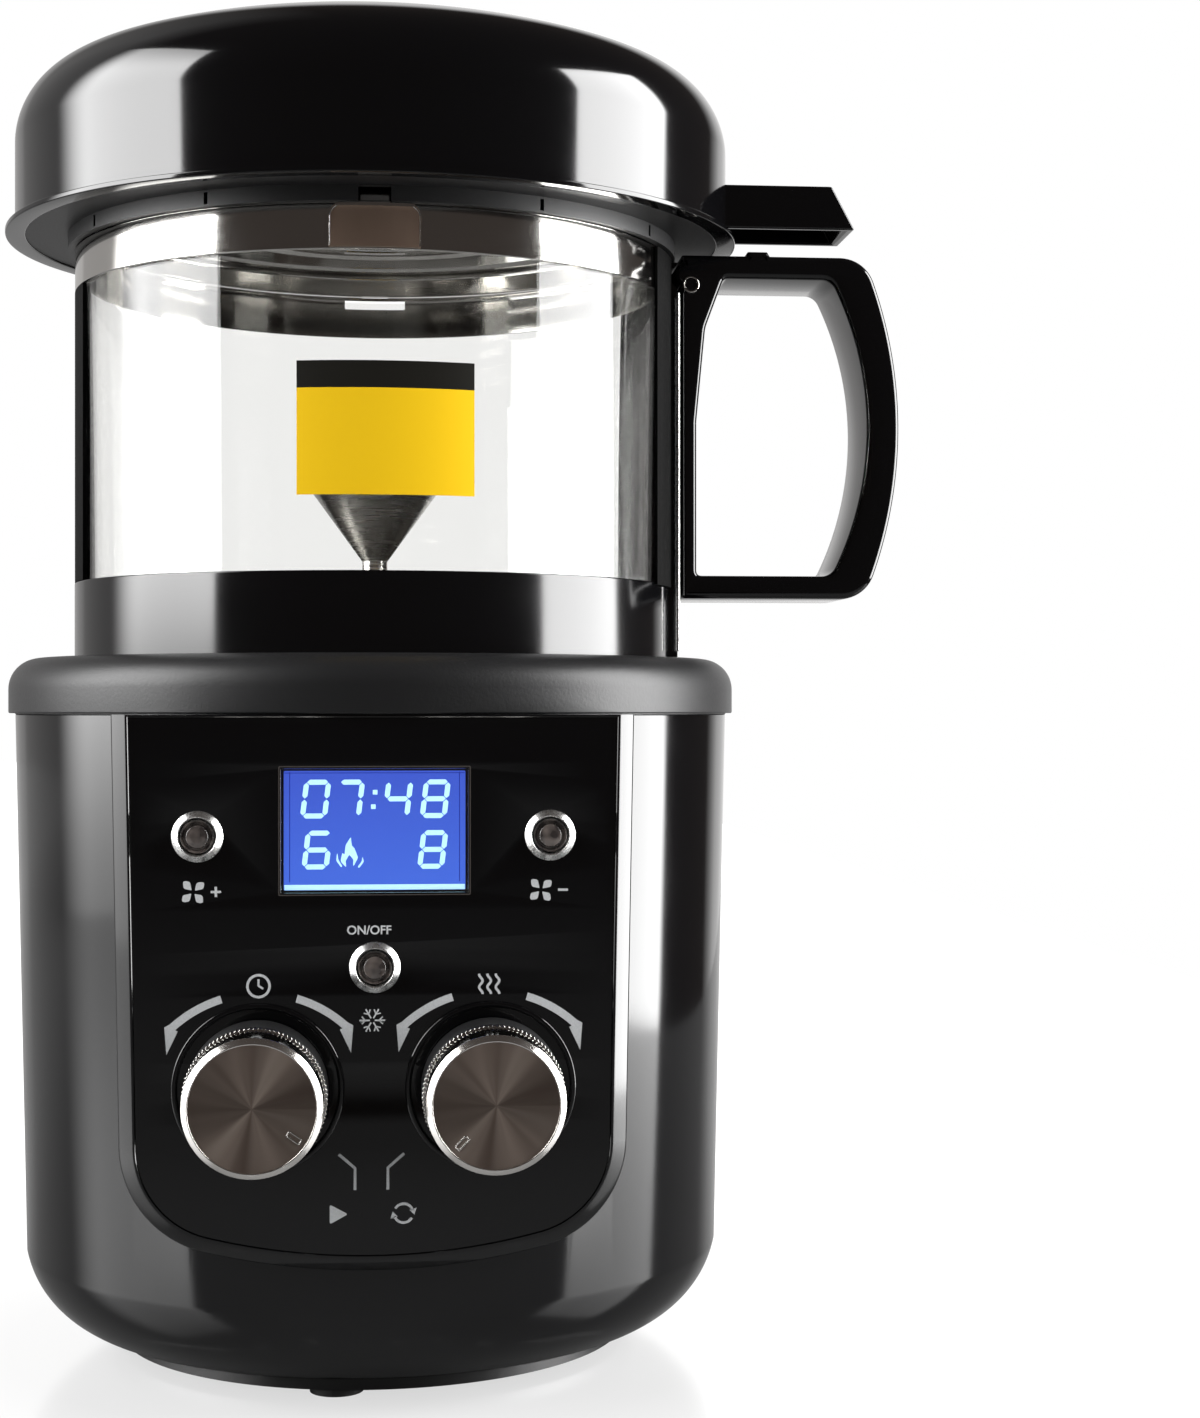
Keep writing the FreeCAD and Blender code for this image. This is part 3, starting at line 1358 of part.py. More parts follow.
def make_lid(h):
    """Domed cover with a thin lip round its lower edge."""
    wall = S.lid_wall
    radius, base = S.lid_radius, h["lid_straight"]
    peak = base + S.dome_rise
    rings = [(radius, base), (radius - S.shoulder_in, base + S.shoulder_rise),
             (radius - S.crown_in, base + S.crown_rise)]
    inner = [(radius - wall, base), (radius - S.shoulder_in - wall / 2.7,
                                     base + S.shoulder_rise - wall / 1.08),
             (radius - S.crown_in - wall / 5.9, base + S.crown_rise - wall / 1.015)]
    turned("lid_dome", [
        (radius - wall, h["brim"]), (S.brim_radius, h["brim"]), (S.brim_radius, h["brim_top"]),
        (radius, h["brim_top"]), rings[0], rings[1], rings[2], (0, peak),
        (0, peak - wall), inner[2], inner[1], inner[0]],
        {4: (S.shoulder_radius, 1), 5: (S.crown_radius, 1),
         6: (cap_radius(rings[2][0], peak - rings[2][1]), 1),
         8: (cap_radius(inner[2][0], peak - wall - inner[2][1]), -1),
         9: (S.crown_radius - wall, -1), 10: (S.shoulder_radius - wall, -1)})


def cap_radius(half, rise):
    """Radius of the arc that rises by rise over half and ends level on the axis."""
    return (half * half + rise * rise) / (rise * 2)


def make_underplate(h):
    """Ring that closes the lid from below, and its collar with exhaust slots over the jar."""
    body = new_body("lid_underplate")
    section = new_sketch(body, "XZ_Plane")
    low = h["lid"] + S.collar_height - S.underplate_thickness
    high = h["lid"] + S.collar_height
    inner = S.collar_radius - S.collar_wall
    outer = S.lid_radius - S.lid_wall
    draw(section, [
        (inner, h["lid"]), (S.collar_radius, h["lid"]), (S.collar_radius, low),
        (outer, low), (outer, high), (inner, high)])
    turn(body, section)
    slot = new_sketch(body, "YZ_Plane", S.collar_radius + 1)
    half = S.collar_vent_width / 2
    rise = h["lid"] + S.collar_vent_rise
    draw_box(slot, -half, half, rise, rise + S.collar_vent_height)
    around(body, [pocket(body, slot, S.collar_wall * 2)], S.collar_vent_count)
    notch = new_sketch(body, "XZ_Plane", S.lid_radius)
    half = S.collar_notch_width / 2
    draw_box(notch, -half, half, h["lid"], h["lid"] + S.collar_notch_height)
    pocket(body, notch, S.lid_radius * 2)
    keep("lid_underplate", body)


def make_tab(h):
    """Hollow lifting tab on the lid's wall, above the handle."""
    body = new_body("tab_box")
    half = S.tab_width / 2
    start = S.lid_radius - S.tab_root
    end = S.lid_radius + S.tab_reach
    low = h["lid"] + S.tab_rise
    high = low + S.tab_height
    wall = S.tab_wall
    section = new_sketch(body, "XZ_Plane", half)
    draw(section, [(start, low), (end, low), (end - S.tab_slope, high), (start, high)])
    pad(body, section, S.tab_width, backwards=True)
    hollow = new_sketch(body, "XZ_Plane", half - wall)
    draw(hollow, [(start + wall, low), (end - wall, low),
                  (end - S.tab_slope - wall / 2, high - wall), (start + wall, high - wall)])
    pocket(body, hollow, S.tab_width - wall * 2)
    side = cylinder("tab_side", S.lid_radius, S.lid_straight, z=h["brim_top"])
    keep("lid_tab", cut("lid_tab", body, side))


def make_cup(h, r):
    """Steel chaff cup that hangs in the jar's mouth, with a chimney and a pierced wall on top."""
    low = h["steel_top"] + S.cup_gap
    wall = S.cup_wall
    bottom = low + S.cup_step
    top = bottom + S.cup_height
    screen = new_body("chaff_screen")
    section = new_sketch(screen, "XZ_Plane")
    inner, outer = S.cup_radius, S.cup_radius + wall
    draw(section, [(inner, top), (outer, top), (outer, top + S.screen_height),
                   (inner, top + S.screen_height)])
    turn(screen, section)
    hole = new_sketch(screen, "YZ_Plane", outer + 1)
    for row in (1, 2):
        draw_circle(hole, 0, top + S.screen_height / 3 * row, S.screen_hole / 2)
    around(screen, [pocket(screen, hole, S.cup_radius)], S.screen_hole_count)
    keep("chaff_screen", screen)
    turned("chaff_cup", [
        (S.cup_radius, low), (S.cup_flange_radius, low), (S.cup_flange_radius, low + wall),
        (S.cup_radius + wall, low + wall), (S.cup_radius + wall, top), (S.cup_radius, top),
        (S.cup_radius, bottom + wall), (S.chimney_radius + wall, bottom + wall),
        (S.chimney_radius + wall, bottom + S.chimney_height),
        (S.chimney_radius, bottom + S.chimney_height), (S.chimney_radius, bottom),
        (S.cup_radius, bottom)])


def make_all():
    """Build every node of the roaster."""
    fill_sheet()
    h, r = stack(), radii()
    make_feet(h)
    make_foot_ring_holes()
    make_casing(h)
    make_floor(h)
    make_case_screws(h)
    make_gland(h)
    make_panel_frame(h)
    make_fascia(h)
    make_display(h)
    make_board(h)
    make_buttons(h)
    make_knobs(h)
    make_blower(h)
    make_motor(h)
    make_duct(h)
    make_heater(h)
    make_power_board(h)
    make_deck(h, r)
    make_jar_base(h, r)
    make_deflector(h)
    make_glass(h, r)
    make_spine(h, r)
    make_handle(h, r)
    make_handle_fasteners(h, r)
    make_lid(h)
    make_underplate(h)
    make_tab(h)
    make_cup(h, r)
    doc.recompute()


def check_all():
    """Stop if any object failed, or if a node's shape is missing or not valid."""
    faults = [f"{item.Name}: {item.State}" for item in doc.Objects
              if "Invalid" in item.State or "Error" in item.State]
    for name, item in nodes.items():
        if item.Shape.isNull() or not item.Shape.isValid():
            faults.append(f"{name}: shape")
    if faults:
        raise RuntimeError("; ".join(faults))


def write_all():
    """Write each node to its own STEP file."""
    os.makedirs("parts", exist_ok=True)
    for name, item in nodes.items():
        item.Shape.exportStep(f"parts/{name}.step")
    print(len(nodes), "nodes written")


make_all()
check_all()
write_all()
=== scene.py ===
"""Looks of a home coffee bean roaster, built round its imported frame.

Laid out as an add-on: sizes and colours in property groups, one operator for each piece or
group of like pieces, one panel in the sidebar. Run as a script, it makes everything in order.
Lengths are millimetres unless a comment says metres; meshes are put down in metres.
"""
import json
import math

import bmesh
import bpy
import numpy as np
from bpy.props import FloatProperty, FloatVectorProperty, IntProperty, PointerProperty
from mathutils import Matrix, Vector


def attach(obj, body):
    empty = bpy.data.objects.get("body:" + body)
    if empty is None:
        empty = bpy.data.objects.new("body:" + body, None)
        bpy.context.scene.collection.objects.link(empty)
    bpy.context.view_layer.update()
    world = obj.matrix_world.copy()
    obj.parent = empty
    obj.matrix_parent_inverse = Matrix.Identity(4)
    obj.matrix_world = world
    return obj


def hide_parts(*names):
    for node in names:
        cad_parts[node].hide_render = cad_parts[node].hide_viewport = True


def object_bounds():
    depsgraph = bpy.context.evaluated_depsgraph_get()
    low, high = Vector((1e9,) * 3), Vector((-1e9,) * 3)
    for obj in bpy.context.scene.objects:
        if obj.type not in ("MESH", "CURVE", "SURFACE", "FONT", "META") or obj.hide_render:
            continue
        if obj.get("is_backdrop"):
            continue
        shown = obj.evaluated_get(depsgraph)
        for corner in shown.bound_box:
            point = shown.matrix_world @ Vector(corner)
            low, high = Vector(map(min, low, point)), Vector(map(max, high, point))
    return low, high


bl_info = {
    "name": "Home coffee bean roaster",
    "version": (1, 0, 0),
    "blender": (4, 5, 0),
    "location": "View3D > Sidebar > Roaster",
    "description": "Dresses the packed frame of a hot-air coffee bean roaster",
    "category": "Add Mesh",
}

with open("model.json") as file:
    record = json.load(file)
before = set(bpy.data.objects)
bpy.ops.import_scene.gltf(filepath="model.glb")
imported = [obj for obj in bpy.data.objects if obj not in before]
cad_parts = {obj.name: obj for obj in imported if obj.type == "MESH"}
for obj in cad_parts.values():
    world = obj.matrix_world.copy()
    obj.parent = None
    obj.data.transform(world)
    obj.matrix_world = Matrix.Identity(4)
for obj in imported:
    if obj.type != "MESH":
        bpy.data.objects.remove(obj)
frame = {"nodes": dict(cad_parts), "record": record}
NODES = frame["nodes"]
CAD_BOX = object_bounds()
MM = 0.001


def linear(hex_code):
    """sRGB hex to linear RGBA: c / 12.92 up to 0.04045, else ((c + 0.055) / 1.055) ** 2.4."""
    parts = [int(hex_code[i:i + 2], 16) / 255 for i in (1, 3, 5)]
    return (*(c / 12.92 if c <= 0.04045 else ((c + 0.055) / 1.055) ** 2.4 for c in parts), 1.0)


# ---------------------------------------------------------------- sizes and colours

def length(name, text, value):
    """A length property, given in millimetres and kept in metres."""
    return FloatProperty(name=name, description=text, default=value * MM, unit="LENGTH",
                         subtype="DISTANCE", precision=5)


def tint(name, text, hex_code):
    """A colour property, given as sRGB hex."""
    return FloatVectorProperty(name=name, description=text, default=linear(hex_code), size=4,
                               subtype="COLOR", min=0, max=1)


class RoasterSizes(bpy.types.PropertyGroup):
    """Lengths that shape the pieces."""
    steps: IntProperty(name="Steps", description="Facets round a turned piece", default=240,
                       min=48, max=512)
    casing_low: length("Casing low radius", "Outer radius where the rolled foot begins", 76.0)
    casing_top: length("Casing top radius", "Outer radius under the soft ring", 78.5)
    casing_wall: length("Casing wall", "Wall of the body shell", 2.4)
    panel_front: length("Panel front", "Distance of the panel frame's face from the axis", 79.0)
    panel_half: length("Panel half width", "Half width of the panel at its top", 47.5)
    panel_bevel: length("Panel bevel", "Width of the bevel round the panel", 3.0)
    display_width: length("Display width", "Width of the window in the plate", 36.0)
    display_height: length("Display height", "Height of the window in the plate", 24.0)
    display_z: length("Display height above rest", "Height of the window's middle", 115.7)
    button_rise: length("Button rise", "How far a cap stands out of the plate", 1.9)
    bezel: length("Bezel radius", "Outer radius of a button's bright ring", 4.92)
    knob_offset: length("Knob offset", "Distance of a knob from the middle", 22.3)
    knob_z: length("Knob height", "Height of the knobs' centres", 66.2)
    cap_front: length("Cap front radius", "Radius of the spun face with its bright edge", 12.9)
    arrow_radius: length("Arrow radius", "Radius of the printed arrows over a knob", 24.5)
    arrow_width: length("Arrow width", "Width of the printed arrows", 1.5)
    print_rise: length("Print rise", "Thickness of the printed ink", 0.04)
    glass_outer: length("Glass radius", "Outer radius of the jar's glass", 65.0)
    glass_wall: length("Glass wall", "Wall of the jar's glass", 2.5)
    label_width: length("Label width", "Width of the plain label", 35.8)
    label_height: length("Label height", "Height of the plain label", 26.6)
    label_top: length("Label top above rest", "Height of the label's upper edge", 208.2)
    label_band: length("Label band", "Height of the label's upper band", 5.4)
    grip_half: length("Handle half width", "Half the depth of the handle", 12.0)
    handle_round: length("Handle rounding", "Rounding of the handle's long edges", 1.3)
    lid_radius: length("Lid radius", "Outer radius of the lid's upright wall", 78.6)
    brim_radius: length("Lip radius", "Outer radius of the lip round the lid", 80.7)


class RoasterColours(bpy.types.PropertyGroup):
    """Colours of the finishes."""
    gloss: tint("Gloss black", "Body, lid, panel and handle", "#050506")
    soft: tint("Soft black", "Soft ring round the body", "#131314")
    matt: tint("Matt black", "Moulded parts with a low sheen", "#101011")
    ink_low: tint("Ink, thin", "Printed marks where the ink is thin", "#9C9EA0")
    ink_high: tint("Ink, full", "Printed marks where the ink is full", "#CDCFD0")
    display_low: tint("Display blue, low", "Backlit ground at its lower edge", "#4C74EC")
    display_high: tint("Display blue, high", "Backlit ground at its upper edge", "#4560D8")
    digit: tint("Digit", "Lit segments", "#A9D8EE")
    label_low: tint("Label ground", "Larger field of the label", "#E8BC00")
    label_high: tint("Label band", "Upper band of the label", "#14130F")
    steel: tint("Steel", "Polished and brushed steel", "#D2D0CC")
    # painted reflections: the light and dark wedges of the spun faces are painted into their colour
    spun_painted_dark: tint("Spun metal, dark", "Dark wedges of the knob caps' faces", "#6E6058")
    spun_painted_light: tint("Spun metal, light", "Light wedges of the knob caps' faces", "#A4978D")


def sizes():
    """The scene's lengths, in millimetres, by name."""
    group = bpy.context.scene.roaster_sizes
    return {k: getattr(group, k) if k == "steps" else getattr(group, k) / MM
            for k in RoasterSizes.__annotations__}


def plate_face(s):
    """Where the control plate's front lies along Y: just behind the panel frame's."""
    return -s["panel_front"] + 0.1


def colours():
    """The scene's colours."""
    return bpy.context.scene.roaster_colours


# ---------------------------------------------------------------- shapes

def outline(*items, rounds=6):
    """Points of a polygon whose corners are rounded.

    An item is (x, y), (x, y, r) or an array of points. A corner with r is cut back along both
    sides by r / tan(half its angle), at most 0.48 of the shorter side, and bridged by the
    quadratic curve (1-s)^2 a + 2s(1-s) p + s^2 b. The whole set is worked out at once.
    """
    rows = np.vstack([np.column_stack([i, np.zeros(len(i))]) if isinstance(i, np.ndarray)
                      else np.array([(*i, 0.0)[:3]], float) for i in items])
    p, r = rows[:, :2], rows[:, 2]
    before, after = np.roll(p, 1, 0) - p, np.roll(p, -1, 0) - p
    lb = np.maximum(np.linalg.norm(before, axis=1), 1e-9)
    la = np.maximum(np.linalg.norm(after, axis=1), 1e-9)
    before, after = before / lb[:, None], after / la[:, None]
    half = np.arccos(np.clip((before * after).sum(1), -1, 1)) / 2
    t = np.minimum(r / np.maximum(np.tan(half), 1e-6), 0.48 * np.minimum(lb, la))
    a, b = p + before * t[:, None], p + after * t[:, None]
    s = np.linspace(0, 1, rounds + 1)[None, :, None]
    curve = (1 - s) ** 2 * a[:, None] + 2 * s * (1 - s) * p[:, None] + s ** 2 * b[:, None]
    flat = curve.reshape(-1, 2)
    return flat[np.linalg.norm(flat - np.roll(flat, 1, 0), axis=1) > 1e-5]


def arc(start, end, radius, side, count=14):
    """Points from start to end on a circle of that radius, its centre to the given side."""
    start, end = np.array(start, float), np.array(end, float)
    chord = end - start
    mid, half = (start + end) / 2, np.linalg.norm(chord) / 2
    normal = np.array([-chord[1], chord[0]]) / (half * 2) * side
    centre = mid + normal * math.sqrt(max(radius ** 2 - half ** 2, 0))
    a0, a1 = np.arctan2(*(start - centre)[::-1]), np.arctan2(*(end - centre)[::-1])
    a1 = a0 + (a1 - a0 + math.pi) % (2 * math.pi) - math.pi
    angle = np.linspace(a0, a1, count)
    return centre + radius * np.column_stack([np.cos(angle), np.sin(angle)])


def rect(x0, y0, x1, y1, r=0.0):
    """A rectangle between two corners, all four rounded by r."""
    return outline((x0, y0, r), (x1, y0, r), (x1, y1, r), (x0, y1, r))


def circle(x, y, radius, count=72):
    """Points of a circle: centre plus radius times (cos, sin)."""
    angle = np.linspace(0, 2 * math.pi, count, endpoint=False)
    return np.column_stack([x + radius * np.cos(angle), y + radius * np.sin(angle)])


def grid(points, close_u=True):
    """Vertices and quads of a grid of points (u, v, 3), joined up along v, and along u if asked."""
    nu, nv = points.shape[:2]
    u = np.arange(nu if close_u else nu - 1)[:, None]
    v = np.arange(nv)[None, :]
    u2, v2 = (u + 1) % nu, (v + 1) % nv
    faces = np.stack([u * nv + v, u2 * nv + v, u2 * nv + v2, u * nv + v2], -1).reshape(-1, 4)
    return points.reshape(-1, 3), faces


def lathe(profile, steps=240, ripple=None):
    """A closed profile (r, z) turned about Z: (r cos a, r sin a, z) for every angle a.

    ripple(a, r, z) may give an amount to add to r.
    """
    a = np.linspace(0, 2 * math.pi, steps, endpoint=False)[:, None]
    r, z = profile[None, :, 0], profile[None, :, 1]
    r = r + (ripple(a, r, z) if ripple else 0)
    points = np.stack([r * np.cos(a), r * np.sin(a), z + 0 * a], -1)
    return outward(grid(points))


def to_front(shape, x, z, y):
    """The shape's Z axis laid along -Y from (x, y, z): (a, b, c) goes to (x+a, y-c, z+b)."""
    p, faces = shape
    return np.column_stack([x + p[:, 0], y - p[:, 2], z + p[:, 1]]), faces


def gather(*shapes):
    """Several shapes as one list of vertices and faces."""
    points, faces, base = [], [], 0
    for p, f in shapes:
        points.append(p)
        faces.append(f + base)
        base += len(p)
    return np.vstack(points), np.vstack(faces)


def outward(shape):
    """The same shape with its faces turned outwards: a negative enclosed volume flips them."""
    p, f = shape
    a, b, c, d = (p[f[:, i]] for i in range(4))
    volume = np.einsum("ij,ij", a, np.cross(b, c) + np.cross(c, d))
    return (p, f) if volume > 0 else (p, f[:, ::-1])


# The panel draws in by this much at each side on its way down to the corners' height; its
# lowest point and the radius of the sweep along its bottom follow.
DRAWN_IN, CORNER_Z, PANEL_LOW, SWEEP = 1.5, 55.0, 33.4, 130.0


def shield(inset, top, size, count=14):
    """The panel's outline, inset by that much: straight sides that draw in from the top, a
    round corner on each side and one wide sweep along the bottom, all meeting tangentially."""
    def turn(mid, a, b, n):
        """Points round mid from a up to just before b."""
        first, last = (math.atan2(*(end - mid)[::-1]) for end in (a, b))
        angle = np.linspace(first, last, n, endpoint=False)
        return mid + np.linalg.norm(a - mid) * np.column_stack([np.cos(angle), np.sin(angle)])
    half, low_half = size["panel_half"] - inset, size["panel_half"] - DRAWN_IN - inset
    bottom, sweep = PANEL_LOW + inset, SWEEP - inset
    side = np.array([low_half - half, CORNER_Z - top])
    side /= np.linalg.norm(side)
    inward = np.array([side[1], -side[0]])
    start, hub = np.array([low_half, CORNER_Z]), np.array([0, bottom + sweep])
    away = start - hub
    corner = (sweep ** 2 - away @ away) / (2 * (away @ inward + sweep))
    centre = start + inward * corner
    touch = hub + (centre - hub) / np.linalg.norm(centre - hub) * sweep
    t = np.linspace(0, 1, count, endpoint=False)[:, None]
    upper = np.array([half, top])
    right = np.vstack([upper + (start - upper) * t, turn(centre, start, touch, count * 2)])
    floor = turn(hub, touch, touch * (-1, 1), count * 3)
    roof = upper * (-1, 1) + (upper - upper * (-1, 1)) * t[1:]
    return np.vstack([right, floor, (touch * (-1, 1))[None], right[::-1] * (-1, 1), roof])


def loft(rows):
    """A grid from rings of points that correspond: rows of (points (n, 2) as x and z, y)."""
    points = np.stack([np.column_stack([p[:, 0], np.full(len(p), y), p[:, 1]]) for p, y in rows])
    return outward(grid(points))


# ---------------------------------------------------------------- meshes and objects

# Faces that meet at less than this many degrees are shaded as one, unless a piece says more.
SMOOTH_TO = 32
# Points closer than this many metres are one.
SAME_POINT = 2e-7


def settle(mesh, angle=SMOOTH_TO):
    """Merge poles and seams, drop stray edges, and shade smooth except past that angle."""
    bm = bmesh.new()
    bm.from_mesh(mesh)
    bmesh.ops.remove_doubles(bm, verts=bm.verts, dist=SAME_POINT)
    bmesh.ops.delete(bm, geom=[e for e in bm.edges if not e.link_faces], context="EDGES")
    bmesh.ops.delete(bm, geom=[v for v in bm.verts if not v.link_faces], context="VERTS")
    bm.to_mesh(mesh)
    bm.free()
    mesh.shade_smooth()
    mesh.set_sharp_from_angle(angle=math.radians(angle))


def link(name, data):
    """A new object in the scene."""
    obj = bpy.data.objects.new(name, data)
    bpy.context.scene.collection.objects.link(obj)
    return obj


def worked_out(obj):
    """A mesh of the object as its curve or its modifiers make it."""
    return bpy.data.meshes.new_from_object(obj.evaluated_get(bpy.context.evaluated_depsgraph_get()))


def finish_piece(obj, material, body, nodes=()):
    """Give a piece its finish, the body it rides on and the nodes it stands for."""
    obj.data.materials.clear()
    obj.data.materials.append(material)
    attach(obj, body)
    if nodes:
        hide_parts(*nodes)
    return obj


def put(name, shape, material, body, nodes=(), angle=SMOOTH_TO, uv=None):
    """A mesh object from vertices in millimetres and quads, put down in metres."""
    p, f = shape
    mesh = bpy.data.meshes.new(name)
    mesh.from_pydata((p * MM).tolist(), [], f.tolist())
    if uv is not None:
        layer = mesh.uv_layers.new(name="turned")
        corner = np.zeros(len(mesh.loops), np.int32)
        mesh.loops.foreach_get("vertex_index", corner)
        layer.data.foreach_set("uv", uv[corner].astype(np.float32).ravel())
    settle(mesh, angle)
    return finish_piece(link(name, mesh), material, body, nodes)


def plate(name, loops, y_front, y_back, rounding, resolution=3):
    """A flat plate in the XZ plane with holes, from closed outlines, with rounded edges.

    The outlines are splines of a filled curve, extruded and bevelled, then made a mesh and
    stood up: (a, b, c) goes to (a, y - c, b).
    """
    curve = bpy.data.curves.new(name, "CURVE")
    curve.dimensions, curve.fill_mode = "2D", "BOTH"
    for loop in loops:
        spline = curve.splines.new("POLY")
        spline.points.add(len(loop) - 1)
        spline.points.foreach_set("co", np.column_stack(
            [loop * MM, np.zeros(len(loop)), np.ones(len(loop))]).ravel())
        spline.use_cyclic_u = True
    half = abs(y_back - y_front) / 2
    curve.extrude = (half - rounding) * MM
    curve.bevel_depth, curve.offset = rounding * MM, -rounding * MM
    curve.bevel_resolution = resolution
    obj = link(name, curve)
    mesh = worked_out(obj)
    bpy.data.objects.remove(obj)
    bpy.data.curves.remove(curve)
    return stand_up(name, mesh, 0, 0, (y_front + y_back) / 2)


def stand_up(name, mesh, x, z, y):
    """An object from a mesh drawn flat in metres, stood up at x, y, z in millimetres."""
    co = np.zeros(len(mesh.vertices) * 3, np.float32)
    mesh.vertices.foreach_get("co", co)
    co = co.reshape(-1, 3)
    co = np.column_stack([co[:, 0] + x * MM, y * MM - co[:, 2], co[:, 1] + z * MM])
    mesh.vertices.foreach_set("co", co.astype(np.float32).ravel())
    mesh.name = name
    settle(mesh)
    return link(name, mesh)


def carve(obj, *tools):
    """Cut closed shapes out of a piece, and leave no modifier behind."""
    for number, shape in enumerate(tools):
        p, f = outward(shape)
        mesh = bpy.data.meshes.new("cutter")
        mesh.from_pydata((p * MM).tolist(), [], f.tolist())
        bm = bmesh.new()
        bm.from_mesh(mesh)
        bmesh.ops.remove_doubles(bm, verts=bm.verts, dist=SAME_POINT)
        bmesh.ops.holes_fill(bm, edges=bm.edges)
        bmesh.ops.recalc_face_normals(bm, faces=bm.faces)
        bm.to_mesh(mesh)
        bm.free()
        cutter = link("cutter", mesh)
        mod = obj.modifiers.new("cut", "BOOLEAN")
        mod.operation, mod.solver, mod.object = "DIFFERENCE", "EXACT", cutter
        done = worked_out(obj)
        obj.modifiers.clear()
        if len(done.polygons) == len(obj.data.polygons):
            raise RuntimeError(f"cut {number} of {obj.name} took nothing away")
        old, obj.data = obj.data, done
        done.name = obj.name
        bpy.data.meshes.remove(old)
        bpy.data.objects.remove(cutter)
        bpy.data.meshes.remove(mesh)
        obj.data.shade_smooth()
        obj.data.set_sharp_from_angle(angle=math.radians(SMOOTH_TO))
    return obj


def prism(loop, y0, y1):
    """A closed outline in x and z carried along Y, with both ends filled later."""
    p = np.vstack([np.column_stack([loop[:, 0], np.full(len(loop), y), loop[:, 1]])
                   for y in (y0, y1)])
    n = len(loop)
    i = np.arange(n)
    j = (i + 1) % n
    return p, np.stack([i, j, j + n, i + n], -1)


# ---------------------------------------------------------------- materials

def add(tree, kind, settings=None, **links):
    """One node with its settings and its links. The setting "in:Name" or "in:3" fills an input,
    and a link is named for its input, or i3 for the input's number."""
    node = tree.nodes.new(kind)
    for key, value in (settings or {}).items():
        if key.startswith("in:"):
            node.inputs[int(key[3:]) if key[3:].isdigit() else key[3:]].default_value = value
        else:
            setattr(node, key, value)
    for key, source in links.items():
        target = int(key[1:]) if key[0] == "i" and key[1:].isdigit() else key.replace("_", " ")
        tree.links.new(source, node.inputs[target])
    return node


def fresh(name, **settings):
    """A new material with a principled shader; settings are the shader's sockets by name.

    One that is there already comes back without its tree, so that it is built only once.
    """
    material = bpy.data.materials.get(name)
    if material:
        return material, None, None
    material = bpy.data.materials.new(name)
    material.use_nodes = True
    tree = material.node_tree
    shader = tree.nodes["Principled BSDF"]
    for key, value in settings.items():
        shader.inputs[key.replace("_", " ")].default_value = value
    return material, tree, shader


def cloud(tree, size_mm, detail=3.0, stretch=(1, 1, 1)):
    """Noise from 0 to 1 in object space, with features size_mm across."""
    where = add(tree, "ShaderNodeTexCoord").outputs["Object"]
    spread = add(tree, "ShaderNodeMapping", {"in:Scale": stretch}, Vector=where).outputs[0]
    return add(tree, "ShaderNodeTexNoise", {"in:Scale": 1 / (size_mm * MM), "in:Detail": detail},
               Vector=spread).outputs["Fac"]


def grain(tree, shader, size_mm, depth_mm, detail=3.0, stretch=(1, 1, 1)):
    """Bump from noise with features size_mm across and depth_mm deep; gives the noise back."""
    noise = cloud(tree, size_mm, detail, stretch)
    bump = add(tree, "ShaderNodeBump", {"in:Distance": depth_mm * MM}, Height=noise)
    tree.links.new(bump.outputs[0], shader.inputs["Normal"])
    return noise


def drive(tree, shader, socket, source, low, high, start=0.0, end=1.0):
    """Let a source take a socket, a number or a colour, from low at start to high at end."""
    target = shader.inputs[socket]
    if target.type == "RGBA":
        node = add(tree, "ShaderNodeValToRGB", Fac=source)
        for stop, position, colour in zip(node.color_ramp.elements, (start, end), (low, high)):
            stop.position, stop.color = position, colour
    else:
        node = add(tree, "ShaderNodeMapRange", {
            "in:From Min": start, "in:From Max": end, "in:To Min": low, "in:To Max": high},
            Value=source)
    tree.links.new(node.outputs[0], target)


def grained(name, colour, size_mm, depth_mm, rough=None, detail=3.0, stretch=(1, 1, 1), **sockets):
    """A material with one grain, which also moves its roughness through the range rough."""
    if rough:
        sockets["Roughness"] = sum(rough) / 2
    m, tree, shader = fresh(name, Base_Color=colour, **sockets)
    if tree:
        noise = grain(tree, shader, size_mm, depth_mm, detail, stretch)
        if rough:
            drive(tree, shader, "Roughness", noise, *rough)
    return m


def polished_abs():
    """High-gloss moulded ABS: a black mirror with a moulding's faint long waves and smudges."""
    m, tree, shader = fresh("polished_black_ABS", Base_Color=colours().gloss, Roughness=0.09,
                            IOR=1.52)
    if tree:
        grain(tree, shader, 22.0, 0.012, detail=1.0)
        drive(tree, shader, "Roughness", cloud(tree, 9.0, detail=4.0), 0.07, 0.11)
    return m


def moulded_abs():
    """Spark-textured moulded ABS: black with a low sheen and a fine pebble grain."""
    return grained("spark_textured_black_ABS", colours().matt, 0.45, 0.015, (0.36, 0.5), IOR=1.54)


def band_abs():
    """Satin moulded ABS of the jar's band: near gloss, so lights stay sharp-edged but softer."""
    return grained("satin_black_ABS", colours().gloss, 14.0, 0.008, (0.09, 0.15), 1.0, IOR=1.52)


def soft_touch():
    """Soft-touch TPE: matt dark grey that lights up broadly, with a velvet grain."""
    return grained("soft_touch_TPE", colours().soft, 0.6, 0.03, (0.35, 0.46), IOR=1.42)


def polished_steel():
    """Polished stainless steel: a clean mirror with hair-fine polishing lines."""
    return grained("polished_stainless_steel", colours().steel, 0.5, 0.0006, (0.05, 0.12),
                   stretch=(0.08, 0.08, 1), Metallic=1.0)


def brushed_steel():
    """Brushed stainless steel: rings of fine lines round the axis smear the highlights."""
    return grained("brushed_stainless_steel", colours().steel, 0.8, 0.004, (0.18, 0.34),
                   stretch=(0.1, 0.1, 2.0), Metallic=1.0, Anisotropic=0.4)


